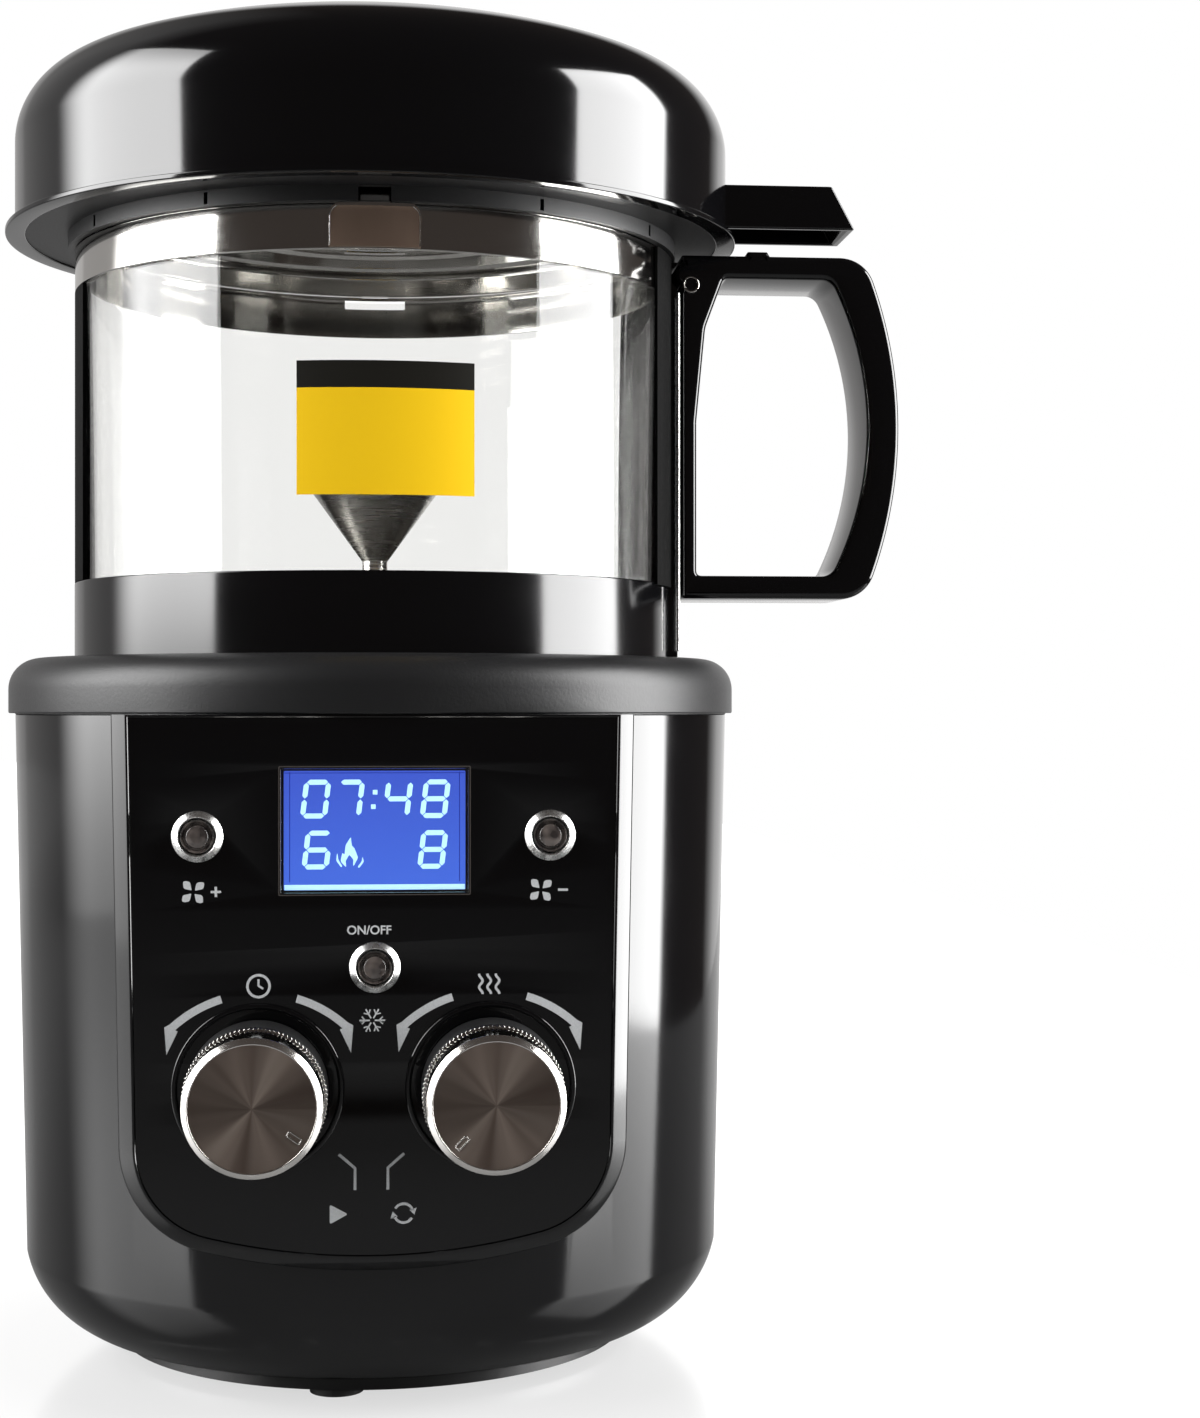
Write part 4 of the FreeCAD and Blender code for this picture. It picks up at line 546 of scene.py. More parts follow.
def cut_aluminium():
    """Diamond-cut aluminium: a bright chamfer whose highlights end sharply at its edges."""
    return grained("diamond_cut_aluminium", linear("#EFECE8"), 0.4, 0.002, (0.13, 0.2),
                   Metallic=1.0)


def black_enamel():
    """Black enamelled steel of the strip behind the handle: deep black with a soft mirror."""
    return grained("black_enamelled_steel", linear("#050506"), 6.0, 0.006, (0.13, 0.2), 1.0)


def matt_silicone():
    """Matt black silicone strip cut from sheet: nearly no shine, a fine bloom in the black."""
    return grained("matt_black_silicone", linear("#040404"), 1.2, 0.01, (0.62, 0.8),
                   Specular_IOR_Level=0.06)


def bright_chrome():
    """Chromed brass of the bezels: white with a soft edge to its highlights."""
    return grained("chromed_brass", linear("#F3F3F1"), 0.5, 0.002, (0.24, 0.32), Metallic=1.0)


def catch_metal():
    """Satin plated brass of the catch plates: brownish, its face softer than its bright edges."""
    return grained("satin_plated_brass", linear("#B79F8E"), 0.8, 0.003, (0.34, 0.46),
                   stretch=(1, 1, 0.1), Metallic=1.0)


def jar_glass():
    """Borosilicate glass: clear and thick-walled, bright and dark lines along its edges."""
    return grained("borosilicate_glass", linear("#FBFBFA"), 30.0, 0.01, detail=0.0, Roughness=0.0,
                   IOR=1.36, Transmission_Weight=1.0)


def clear_lens():
    """Clear acrylic: the display's window, a thin bright reflection over the picture."""
    return grained("clear_acrylic", linear("#F8FBFF"), 12.0, 0.004, detail=0.0, Roughness=0.02,
                   IOR=1.49, Transmission_Weight=1.0)


def lit_segment():
    """A lit segment of the display: pale cyan white, cut sharp out of the blue."""
    return grained("lit_segment", linear("#B8D8E0"), 1.0, 0.002, Roughness=0.3,
                   Emission_Color=colours().digit, Emission_Strength=0.95)


def display_line():
    """Edge lines of the display's cell: a darker blue than the ground."""
    return grained("display_edge_line", linear("#10183C"), 1.0, 0.002, Roughness=0.3,
                   Emission_Color=linear("#2338A8"), Emission_Strength=0.9)


def painted_bevel_highlight():
    """Painted bevel highlight: a thin grey-brown line round the display, barely lighter than the
    plate.
    """
    return grained("faint_printed_ink", linear("#3C3734"), 0.3, 0.003, Roughness=0.45)


def screen_ink():
    """Screen-printed ink: flat light grey with a slightly uneven coverage."""
    m, tree, shader = fresh("screen_printed_ink", Roughness=0.5)
    if tree:
        noise = grain(tree, shader, 0.3, 0.004)
        drive(tree, shader, "Base Color", noise, colours().ink_low, colours().ink_high)
    return m


def spun_metal():
    """Spun aluminium, lacquered: a turned face whose painted reflections, wedges of light, run out
    from the centre.

    The UV map's u is the angle and v the radius, so the tangent follows the turning marks.
    """
    m, tree, shader = fresh("spun_aluminium", Metallic=1.0, Roughness=0.3, Anisotropic=0.85)
    if tree:
        uv = add(tree, "ShaderNodeUVMap", {"uv_map": "turned"}).outputs[0]
        # turning marks are 0.05 mm apart on the real face; drawn 0.25 mm apart so that they show
        wedges, marks = (add(
            tree, "ShaderNodeTexNoise", {"in:Scale": scale, "in:Detail": 2.0},
            Vector=add(tree, "ShaderNodeMapping", {"in:Scale": stretch}, Vector=uv).outputs[0],
        ).outputs["Fac"] for scale, stretch in ((9.0, (1.0, 0.02, 1.0)), (1.0, (0.01, 52.0, 1.0))))
        # painted reflections: light and dark wedges round the centre in the colour; the glints over
        # them come from the lights
        drive(tree, shader, "Base Color", wedges, colours().spun_painted_dark, colours().spun_painted_light,
              0.3, 0.72)
        drive(tree, shader, "Roughness", wedges, 0.3, 0.42)
        bump = add(tree, "ShaderNodeBump", {"in:Strength": 0.4, "in:Distance": 0.004 * MM},
                   Height=marks)
        tree.links.new(bump.outputs[0], shader.inputs["Normal"])
        tangent = add(tree, "ShaderNodeTangent", {"direction_type": "UV_MAP", "uv_map": "turned"})
        tree.links.new(tangent.outputs[0], shader.inputs["Tangent"])
    return m


def button_plastic():
    """Smoked polycarbonate: a clear gloss over an uneven grey-brown, as in a deep button cap."""
    m, tree, shader = fresh("smoked_polycarbonate", Roughness=0.12, IOR=1.58, Coat_Weight=1.0,
                            Coat_Roughness=0.04)
    if tree:
        noise = grain(tree, shader, 2.4, 0.04, detail=1.0)
        drive(tree, shader, "Base Color", noise, linear("#2A2625"), linear("#5E5652"), 0.36, 0.66)
    return m


def lit_display():
    """Backlit liquid crystal: even blue light that pales a little towards its lower edge."""
    m, tree, shader = fresh("backlit_liquid_crystal", Base_Color=linear("#101828"), Roughness=0.25,
                            Emission_Strength=0.95)
    if tree:
        where = add(tree, "ShaderNodeTexCoord").outputs["Object"]
        split = add(tree, "ShaderNodeSeparateXYZ", Vector=where)
        # from 11.2 mm below the window's middle to 11.8 mm above it
        height = add(tree, "ShaderNodeMapRange", {"in:From Min": 0.1045, "in:From Max": 0.1275},
                     Value=split.outputs["Z"])
        drive(tree, shader, "Emission Color", height.outputs[0], colours().display_low,
              colours().display_high)
    return m


def label_vinyl():
    """Printed vinyl label: two flat fields of colour under a gloss film."""
    m, tree, shader = fresh("printed_vinyl", Roughness=0.3, Coat_Weight=0.6, Coat_Roughness=0.1)
    if tree:
        where = add(tree, "ShaderNodeTexCoord").outputs["Object"]
        split = add(tree, "ShaderNodeSeparateXYZ", Vector=where)
        edge = (sizes()["label_top"] - sizes()["label_band"]) * MM
        band = add(tree, "ShaderNodeMath", {"operation": "GREATER_THAN", "in:1": edge},
                   i0=split.outputs["Z"])
        mix = add(tree, "ShaderNodeMix", {"data_type": "RGBA", "in:6": colours().label_low,
                                          "in:7": colours().label_high}, i0=band.outputs[0])
        tree.links.new(mix.outputs[2], shader.inputs["Base Color"])
        grain(tree, shader, 1 / 0.9, 0.01, detail=2.0)
    return m


def rubber(name, hex_code, rough=0.65):
    """Moulded rubber: matt, with a fine even grain."""
    return grained(name, linear(hex_code), 0.5, 0.02, Roughness=rough)


def metal(name, hex_code, rough, size_mm=0.6, depth_mm=0.003):
    """A plain machined or plated metal: its colour, a roughness and fine tool marks."""
    return grained(name, linear(hex_code), size_mm, depth_mm, (rough * 0.8, rough * 1.3),
                   Metallic=1.0)


def flecked(name, low_hex, high_hex, rough, size_mm, metallic=0.0):
    """A solid with flecks of two colours, for boards, mica and laminated iron."""
    m, tree, shader = fresh(name, Roughness=rough, Metallic=metallic)
    if tree:
        noise = grain(tree, shader, size_mm, 0.01)
        drive(tree, shader, "Base Color", noise, linear(low_hex), linear(high_hex), 0.4, 0.62)
    return m


FINISHES = {
    "gloss_black": polished_abs,
    "soft_grey": soft_touch,
    "black_plastic": moulded_abs,
    "rubber": lambda: rubber("nitrile_rubber", "#1A1A1A"),
    "silicone": lambda: rubber("silicone_rubber", "#8A8A88", 0.5),
    "polished_steel": polished_steel,
    "brushed_steel": brushed_steel,
    "fasteners": lambda: metal("zinc_plated_steel", "#B9BBBD", 0.3),
    "clear_glass": jar_glass,
    "clear_lens": clear_lens,
    "button_cap": button_plastic,
    "display": moulded_abs,
    "circuit_board": lambda: flecked("solder_masked_glass_fibre", "#0B3A1C", "#14582C", 0.35, 3.0),
    "encoder_metal": lambda: metal("die_cast_zinc", "#A5A6A8", 0.4),
    "bronze": lambda: metal("sintered_bronze", "#9A6B3A", 0.5, 0.3, 0.02),
    "armature": lambda: flecked("laminated_iron", "#3A2A20", "#5C4636", 0.5, 1.2, 0.6),
    "wheel": lambda: metal("pressed_aluminium", "#B4B6B8", 0.35, 1.0, 0.01),
    "mica": lambda: flecked("mica_board", "#A8A08A", "#C8C0A8", 0.6, 2.0),
    "heating_wire": lambda: metal("oxidised_nichrome", "#6E6258", 0.55, 0.3, 0.01),
}


# ---------------------------------------------------------------- body

class ROASTER_OT_casing(bpy.types.Operator):
    """Turn the tapered body shell, then cut the panel's window and the cord bush's seat"""
    bl_idname = "roaster.casing"
    bl_label = "Body shell"

    def execute(self, context):
        s = sizes()
        low, top, wall = s["casing_low"], s["casing_top"], s["casing_wall"]
        profile = outline(
            arc((57.5, 4.5), (low, 22.0), 22.0, 1, 28), (top, 138.0, 0.3), (top - wall, 138.0, 0.3),
            arc((low - wall, 22.0), (57.5, 7.1), 22.0 - wall, -1, 20))
        shell = put("casing_shell", lathe(profile, s["steps"]), polished_abs(), "base",
                    ["casing"])
        carve(shell, prism(shield(-1.5, 139.0, s), -95.0, -45.0),
              prism(circle(0, 24.0, 8.1), low - 1.0, 95.0),
              prism(circle(0, 24.0, 5.5), 60.0, low - 0.5))
        return {"FINISHED"}


class ROASTER_OT_panel(bpy.types.Operator):
    """Carry the frame's cross-section round the panel's outline: outer wall, bevel, lip and seat"""
    bl_idname = "roaster.panel"
    bl_label = "Panel frame"

    def execute(self, context):
        s = sizes()
        f, bevel = -s["panel_front"], s["panel_bevel"]
        section = [
            (-bevel, f + 25, 138.0), (-bevel, f + bevel + 0.35, 138.0),
            (0.1 - bevel, f + bevel - 0.1, 138.0), (0.3 - bevel, f + bevel - 0.35, 138.0),
            (-0.4, f + 0.4, 138.0), (-0.15, f + 0.18, 138.0), (0.12, f + 0.04, 137.9),
            (0.38, f, 137.65), (0.5, f + 0.12, 137.5), (0.5, f + 1.5, 137.5), (4.0, f + 1.5, 134.0),
            (4.0, f + 4.0, 134.0), (-0.6, f + 4.0, 135.6), (-0.6, f + 25, 135.6)]
        rows = [(shield(inset, top, s), y) for inset, y, top in section]
        put("panel_frame_shell", loft(rows), polished_abs(), "base",
            ["panel_frame"], angle=38)
        return {"FINISHED"}


# Centres of the three push buttons on the panel, as (x, z).
BUTTONS = {"fan_up": (-33.8, 114.7), "fan_down": (33.8, 114.7), "cool": (0.0, 89.4)}


class ROASTER_OT_fascia(bpy.types.Operator):
    """Make the gloss plate with its openings, and the raised rim round each knob"""
    bl_idname = "roaster.fascia"
    bl_label = "Control plate"

    def execute(self, context):
        s = sizes()
        front = plate_face(s)
        w, h, z = s["display_width"] / 2, s["display_height"] / 2, s["display_z"]
        window = rect(-w, z - h, w, z + h, 0.4)
        holes = [circle(*centre, 4.22) for centre in BUTTONS.values()]
        holes += [circle(x * s["knob_offset"], s["knob_z"], 3.85) for x in (-1, 1)]
        sheet = plate("fascia_plate", [shield(0.6, 137.4, s, 20)[::-1], window, *holes],
                      front, front + 1.4, 0.14)
        finish_piece(sheet, polished_abs(), "base", ["control_fascia"])
        rim = outline((15.3, -0.3), (16.5, -0.3), (16.5, 1.0, 0.5), (15.3, 1.0, 0.5))
        rims = gather(*[to_front(lathe(rim, s["steps"]), x * s["knob_offset"], s["knob_z"], front)
                        for x in (-1, 1)])
        put("knob_rims", rims, polished_abs(), "base")
        return {"FINISHED"}


def band_of(points, width):
    """An open line of points as a closed strip: each point moved by half the width both ways
    along the line's normal."""
    along = np.gradient(points, axis=0)
    along /= np.linalg.norm(along, axis=1)[:, None]
    normal = np.column_stack([-along[:, 1], along[:, 0]]) * width / 2
    return np.vstack([points + normal, (points - normal)[::-1]])


def turned(loops, degrees, x, z, size=1.0):
    """Loops turned about the origin, scaled and moved to x, z."""
    a = math.radians(degrees)
    matrix = np.array([[math.cos(a), math.sin(a)], [-math.sin(a), math.cos(a)]])
    return [loop @ matrix * size + (x, z) for loop in loops]


def ring(radius, width, count=40):
    """A round line as two loops, the outside and the hole."""
    return [circle(0, 0, radius + width / 2, count), circle(0, 0, radius - width / 2, count)[::-1]]


def fan_mark():
    """Four blades round a hub: each blade is a rounded sickle."""
    blade = outline((0.25, 0.2, 0.1), (0.5, 1.4, 0.5), (1.7, 1.5, 0.5), (1.5, 0.45, 0.4))
    return [loop for turn in range(4) for loop in turned([blade], 90 * turn, 0, 0)]


def minus_mark():
    """A short level bar."""
    return [band_of(PLUS_BAR, PLUS_LINE)]


def plus_mark():
    """The same bar with a half bar above and one below it."""
    upright = PLUS_BAR[:, ::-1] * 0.38
    return minus_mark() + [band_of(upright + (0, side * 0.465), PLUS_LINE) for side in (1, -1)]


PLUS_BAR, PLUS_LINE = np.array([(-0.75, 0.0), (0.75, 0.0)]), 0.36


def clock_mark():
    """A dial ring with two hands."""
    return ring(1.45, 0.34) + [band_of(np.array([(0.0, 0.9), (0.0, 0.05), (0.62, -0.35)]), 0.3)]


def heat_mark():
    """Three rising waves: x = 0.25 sin(3.6 z)."""
    z = np.linspace(-1.4, 1.4, 14)
    return [band_of(np.column_stack([x + 0.25 * np.sin(3.6 * z), z]), 0.34)
            for x in (-1.15, 0.0, 1.15)]


def cool_mark():
    """Six arms round an open middle, with a pair of twigs each."""
    arm = [band_of(np.array([(0.35, 0.0), (1.9, 0.0)]), 0.22),
           band_of(np.array([(1.12, 0.1), (1.55, 0.55)]), 0.18),
           band_of(np.array([(1.12, -0.1), (1.55, -0.55)]), 0.18)]
    return [loop for turn in range(6) for loop in turned(arm, 60 * turn, 0, 0)]


def start_mark():
    """A triangle that points right."""
    return [outline((-1.1, -1.35, 0.2), (1.4, 0.0, 0.2), (-1.1, 1.35, 0.2))]


def cycle_mark():
    """Two arrows that chase each other round a circle."""
    a = np.radians(np.linspace(20, 150, 14))
    bow = band_of(np.column_stack([np.cos(a), np.sin(a)]) * 1.35, 0.36)
    head = np.array([(1.85, 0.75), (0.85, 0.45), (1.55, -0.25)])
    return [loop for turn in (0, 180) for loop in turned([bow, head], turn, 0, 0)]


# The point the printed arrows bend round, and each pictogram's place and size on the panel.
ARROW_HUB = (22.1, 60.1)
PLACED_MARKS = (
    (fan_mark, -34.6, 104.1, 1.3), (fan_mark, 32.0, 104.1, 1.3), (clock_mark, -22.2, 86.0, 1.45),
    (heat_mark, 22.0, 86.0, 1.4), (cool_mark, -0.5, 79.2, 1.3), (start_mark, -7.1, 42.0, 1.4),
    (cycle_mark, 5.5, 42.0, 1.35), (minus_mark, 36.3, 104.1, 1.3), (plus_mark, -30.3, 104.1, 1.3))


class ROASTER_OT_marks(bpy.types.Operator):
    """Print the arrows, the bracket lines and plain pictograms on the control plate"""
    bl_idname = "roaster.marks"
    bl_label = "Printed marks"

    def execute(self, context):
        s = sizes()
        front = plate_face(s)
        loops = []
        a = np.radians(np.linspace(107, 132, 20))
        bow = np.column_stack([np.cos(a), np.sin(a)])
        half = s["arrow_width"] / 2
        head = [(-17.95, 18.2), (-17.55, 12.9), (-15.4, 17.4)]
        arrow = np.vstack([bow * (s["arrow_radius"] + half), head,
                           (bow * (s["arrow_radius"] - half))[::-1]])
        for side in (-1, 1):
            hub = (side * ARROW_HUB[0], ARROW_HUB[1])
            loops += [arrow + hub, (arrow * (-1, 1))[::-1] + hub]
            bracket = [(side * x - 0.65, z) for x, z in ((6.25, 53.5), (3.15, 50.8), (3.15, 46.6))]
            loops.append(band_of(np.array(bracket), 0.55))
        for mark, x, z, size in PLACED_MARKS:
            loops += turned(mark(), 0, x, z, size)
        print_loops("printed_marks", loops, front, s["print_rise"], screen_ink())
        words = bpy.data.curves.new("switch_words", "FONT")
        words.body, words.size = "ON/OFF", 2.35 * MM
        words.align_x, words.align_y = "CENTER", "CENTER"
        words.extrude, words.offset = s["print_rise"] / 2 * MM, 0.045 * MM
        holder = link("switch_words", words)
        mesh = worked_out(holder)
        bpy.data.objects.remove(holder)
        obj = stand_up("switch_words", mesh, -1.1, 96.5, front - s["print_rise"] / 2)
        finish_piece(obj, screen_ink(), "base")
        return {"FINISHED"}


def print_loops(name, loops, front, rise, material):
    """Ink, a lit figure or a painted highlight: closed outlines filled and raised by rise in front
    of a face.
    """
    finish_piece(plate(name, loops, front - rise, front + 0.002, 0.0), material, "base")


# The flame's three tongues: corners (x, z, rounding).
FLAME = (
    ((-0.3, -0.4, 0.2), (-1.5, 0.9, 0.9), (-1.1, 2.6, 0.3), (-0.7, 2.1, 0.2), (-0.5, 4.0, 0.9),
     (0.5, 5.6, 0.1), (0.7, 3.9, 0.5), (1.2, 3.4, 0.1), (1.9, 1.6, 0.9), (0.9, -0.3, 0.4),
     (1.0, 1.2, 0.5), (0.2, 2.2, 0.2), (-0.5, 0.9, 0.5)),
    ((-1.4, -0.2, 0.3), (-2.3, 1.0, 0.6), (-2.1, 2.8, 0.1), (-1.9, 1.3, 0.5), (-1.1, -0.1, 0.2)),
    ((1.8, -0.2, 0.2), (2.6, 0.9, 0.5), (2.7, 1.9, 0.1), (3.0, 0.8, 0.5), (2.1, -0.4, 0.2)))

# Lit segments of each figure: a top, b and c right, d bottom, e and f left, g middle.
FIGURES = {"0": "abcdef", "7": "abc", "4": "bcfg", "8": "abcdefg", "6": "acdefg"}


def figure(digit, x, z, w=4.2, h=6.5, t=0.98, lean=0.12):
    """A seven-segment figure: six-sided bars with gaps between them, leaning to the right."""
    def bar(x0, z0, x1, z1):
        d = np.array([x1 - x0, z1 - z0])
        d /= np.linalg.norm(d)
        n, e = np.array([-d[1], d[0]]) * t / 2, d * t / 2
        a, b = np.array([x0, z0]) + d * 0.1, np.array([x1, z1]) - d * 0.1
        return np.array([a, a + e + n, b - e + n, b, b - e - n, a + e - n])
    at = {"a": (0, h, w, h), "g": (0, h / 2, w, h / 2), "d": (0, 0, w, 0), "f": (0, h / 2, 0, h),
          "e": (0, 0, 0, h / 2), "b": (w, h / 2, w, h), "c": (w, 0, w, h / 2)}
    bars = [bar(*at[k]) for k in FIGURES[digit]]
    return [np.column_stack([b[:, 0] + b[:, 1] * lean + x, b[:, 1] + z]) for b in bars]


class ROASTER_OT_display(bpy.types.Operator):
    """Make the display: window, housing, lit ground, figures and flame"""
    bl_idname = "roaster.display"
    bl_label = "Display"

    def execute(self, context):
        s = sizes()
        front = plate_face(s)
        w, h, z = s["display_width"] / 2, s["display_height"] / 2, s["display_z"]
        inner = lambda a, b, r=0.3: rect(-a, z - b, a, z + b, r)
        cell = front + 1.75
        pane = plate("display_window", [inner(w - 0.05, h - 0.05)], front + 0.1, front + 1.35, 0.12)
        finish_piece(pane, clear_lens(), "base", ["display_lens"])
        housing = [inner(w, h), inner(w - 0.62, h - 0.5)[::-1]]
        finish_piece(plate("display_housing", housing, front + 1.42, front + 3.9, 0.12),
                     polished_abs(), "base", ["display_module"])
        finish_piece(plate("display_case", [inner(21.0, 15.0, 0.8)], front + 3.9, front + 9.4, 0.4),
                     moulded_abs(), "base")
        finish_piece(plate("display_ground", [inner(w - 0.6, h - 0.48)], cell, front + 3.9, 0.05),
                     lit_display(), "base")
        loops = []
        for digit, x, up in (("0", -13.8, 2.8), ("7", -7.35, 2.8), ("4", 1.9, 2.8), ("8", 9.1, 2.8),
                             ("6", -13.5, -7.0), ("8", 8.6, -7.0)):
            loops += figure(digit, x, z + up)
        loops += [rect(x, z + up, x + 0.9, z + up + 0.9, 0.1)
                  for x, up in ((-0.75, 4.1), (-0.4, 6.9))]
        loops += turned([outline(*tongue) for tongue in FLAME], 0, -5.1, z - 6.85)
        loops.append(rect(0.75 - w, z - h + 0.55, w - 0.75, z - h + 1.55))
        print_loops("display_figures", loops, cell, 0.05, lit_segment())
        lines = [rect(x - 0.09, z - h + 2.1, x + 0.09, z + h - 0.7) for x in (-16.25, 16.25)]
        lines.append(rect(0.7 - w, z + h - 1.0, w - 0.7, z + h - 0.85))
        print_loops("display_lines", lines, cell, 0.03, display_line())
        # painted highlight: a thin grey-brown loop round the window, where its bevel would catch
        # the light
        bevel_highlight_loops = [inner(w + 0.45, h + 0.45), inner(w + 0.25, h + 0.25)[::-1]]
        print_loops("display_hairline", bevel_highlight_loops, front, 0.03, painted_bevel_highlight())
        return {"FINISHED"}


class ROASTER_OT_buttons(bpy.types.Operator):
    """Turn the three bright bezels and the three smoked caps"""
    bl_idname = "roaster.buttons"
    bl_label = "Push buttons"

    def execute(self, context):
        s = sizes()
        front = plate_face(s)
        outer = s["bezel"]
        bezel = outline((3.35, -3.9), (4.2, -3.9), (4.2, 0.0), (outer, 0.0), (outer, 0.45, 0.12),
                        (outer - 1.08, 1.55, 0.22), (outer - 1.25, 1.45, 0.1), (3.35, 0.35, 0.15))
        rings = gather(*[to_front(lathe(bezel, 120), x, z, front) for x, z in BUTTONS.values()])
        put("bright_bezels", rings, bright_chrome(), "base", ["button_bezels"],
            angle=50)
        rise = s["button_rise"]
        cap = outline((0, rise - 0.3), (1.2, rise - 0.36, 0.5), (2.1, rise - 0.7, 0.3),
                      (2.35, rise - 1.5, 0.15), (2.6, rise - 1.5, 0.1), (3.0, rise - 0.95, 0.25),
                      (3.25, rise - 1.2, 0.1), (3.25, -4.0), (4.0, -4.0), (4.0, -4.8), (1.2, -4.8),
                      (1.2, -6.1), (0, -6.1))
        for name, (x, z) in BUTTONS.items():
            put(f"{name}_cap", to_front(lathe(cap, 96), x, z, front), button_plastic(), name,
                [f"{name}_button"], angle=45)
        return {"FINISHED"}


# Each knob's name, its side, and how many degrees its pointer is turned clockwise from +X.
KNOBS = (("time", -1, -35), ("heat", 1, -133))
POINTER_RADIUS = 9.3
RIBS = 96
FACE_STEPS = 240


class ROASTER_OT_knobs(bpy.types.Operator):
    """Turn both knobs: black skirt, knurled ring, bright cap, spun face and pointer"""
    bl_idname = "roaster.knobs"
    bl_label = "Rotary knobs"

    def execute(self, context):
        s = sizes()
        front = plate_face(s)
        r = s["cap_front"]
        skirt = outline((0, 12.3), (13.3, 12.3, 0.3), (13.5, 11.9, 0.2), (13.5, 1.3, 0.4),
                        (11.7, 1.3), (11.7, 10.5), (5.2, 10.5), (5.2, 1.3), (2.95, 1.3),
                        (2.95, 10.5), (0, 10.5))
        knurl = outline((12.6, 12.35), (13.3, 12.35, 0.15), (13.3, 13.75, 0.15), (12.6, 13.75))
        cap = outline((0, 12.4), (13.05, 12.4), (13.1, 13.9, 0.2), (r, 22.75, 0.1),
                      (r - 0.25, 23.0), (0, 23.0))
        bevel = outline((r - 0.2, 22.6), (r + 0.02, 22.6), (r + 0.04, 22.78, 0.1),
                        (r - 1.0, 23.8, 0.1), (r - 1.2, 23.7, 0.08), (r - 1.25, 23.0))
        face = np.array([(r - 1.22, 23.1), (r - 1.22, 23.5), (8.0, 23.5), (4.0, 23.5), (0, 23.5),
                         (0, 23.1)])
        # ribs stand out by half a cosine, 0.27 mm at most, and only on the outer wall
        ribs = lambda a, rad, z: (
            0.27 * np.clip((rad - 12.9) / 0.4, 0, 1) * (0.5 + 0.5 * np.cos(RIBS * a)))
        angles = np.arange(FACE_STEPS)[:, None] / FACE_STEPS + 0 * face[None, :, 0]
        uv = np.stack([angles, face[None, :, 0] / 12 + 0 * angles], -1).reshape(-1, 2)
        for name, side, turn in KNOBS:
            x, z = side * s["knob_offset"], s["knob_z"]
            at = lambda shape: to_front(shape, x, z, front)
            knob, body, steel = f"{name}_knob", f"{name}_turn", "polished_steel"
            put(f"{knob}_skirt", at(lathe(skirt, 180)), moulded_abs(), body,
                [knob])
            put(f"{knob}_knurl", at(lathe(knurl, 768, ribs)), polished_steel(), body,
                angle=60)
            put(f"{knob}_rim", at(lathe(cap, s["steps"])), polished_steel(), body,
                [f"{knob}_cap"])
            put(f"{knob}_bevel", at(lathe(bevel, s["steps"])), cut_aluminium(), body)
            put(f"{knob}_face", at(lathe(face, FACE_STEPS)), spun_metal(), body, uv=uv)
            mark = [loop + (POINTER_RADIUS, 0) for loop in (
                rect(-1.5, -0.62, 1.5, 0.62, 0.3), rect(-1.25, -0.37, 1.25, 0.37, 0.2)[::-1])]
            pointer = plate(f"{knob}_pointer", turned(mark, turn, x, z), front - 23.62,
                            front - 23.4, 0.05)
            finish_piece(pointer, polished_steel(), body)
        return {"FINISHED"}


class ROASTER_OT_soft_ring(bpy.types.Operator):
    """Turn the soft ring that closes the body round the jar's seat"""
    bl_idname = "roaster.soft_ring"
    bl_label = "Soft ring"

    def execute(self, context):
        profile = outline((66.5, 141.2), (66.5, 150.1, 1.0),
                          arc((73.3, 150.1), (80.0, 143.4), 6.7, -1, 18), (80.0, 138.2, 0.4),
                          (78.6, 138.2), (78.6, 141.2))
        put("soft_ring", lathe(profile, sizes()["steps"]), soft_touch(), "base",
            ["grip_ring"])
        return {"FINISHED"}


# ---------------------------------------------------------------- jar

def around_jar(radius_low, radius_high, low, high, width, middle=0.0, steps=40):
    """A patch on the jar: width along the arc, its middle turned from the front by middle
    degrees. Four corners of a section (r, z) at each angle; high may vary with the arc length."""
    u = np.linspace(-width / 2, width / 2, steps)
    a = math.radians(-90 + middle) + u / radius_high
    top = high(u) if callable(high) else np.full(steps, high)
    r = np.array([radius_low, radius_high, radius_high, radius_low])[None, :]
    z = np.column_stack([np.full(steps, low), np.full(steps, low), top, top])
    points = np.stack([r * np.cos(a)[:, None], r * np.sin(a)[:, None], z], -1)
    p, f = grid(points, close_u=False)
    last = (steps - 1) * 4
    return outward((p, np.vstack([f, [[3, 2, 1, 0]], [[last, last + 1, last + 2, last + 3]]])))


def bead_on_jar(path, radius, rho, middle=0.0, count=8):
    """A thin bead along a path (arc length, z) on the jar: a circle of radius rho round each
    point, spanned by the jar's radial direction and the path's normal within its surface."""
    along = np.gradient(path, axis=0)
    along /= np.linalg.norm(along, axis=1)[:, None]
    normal = np.column_stack([-along[:, 1], along[:, 0]])
    t = (np.arange(count) / count * 2 * np.pi)[None, :]
    u = path[:, :1] + normal[:, :1] * rho * np.sin(t)
    z = path[:, 1:] + normal[:, 1:] * rho * np.sin(t)
    r, a = radius + rho * np.cos(t) + 0 * z, math.radians(-90 + middle) + u / radius
    points = np.stack([r * np.cos(a), r * np.sin(a), z], -1)
    p, f = grid(points, close_u=False)
    last = (len(path) - 1) * count
    cap = np.array([(0, 1, 2, 3), (0, 3, 4, 7), (4, 5, 6, 7)])
    return outward((p, np.vstack([f, cap, cap[:, ::-1] + last])))


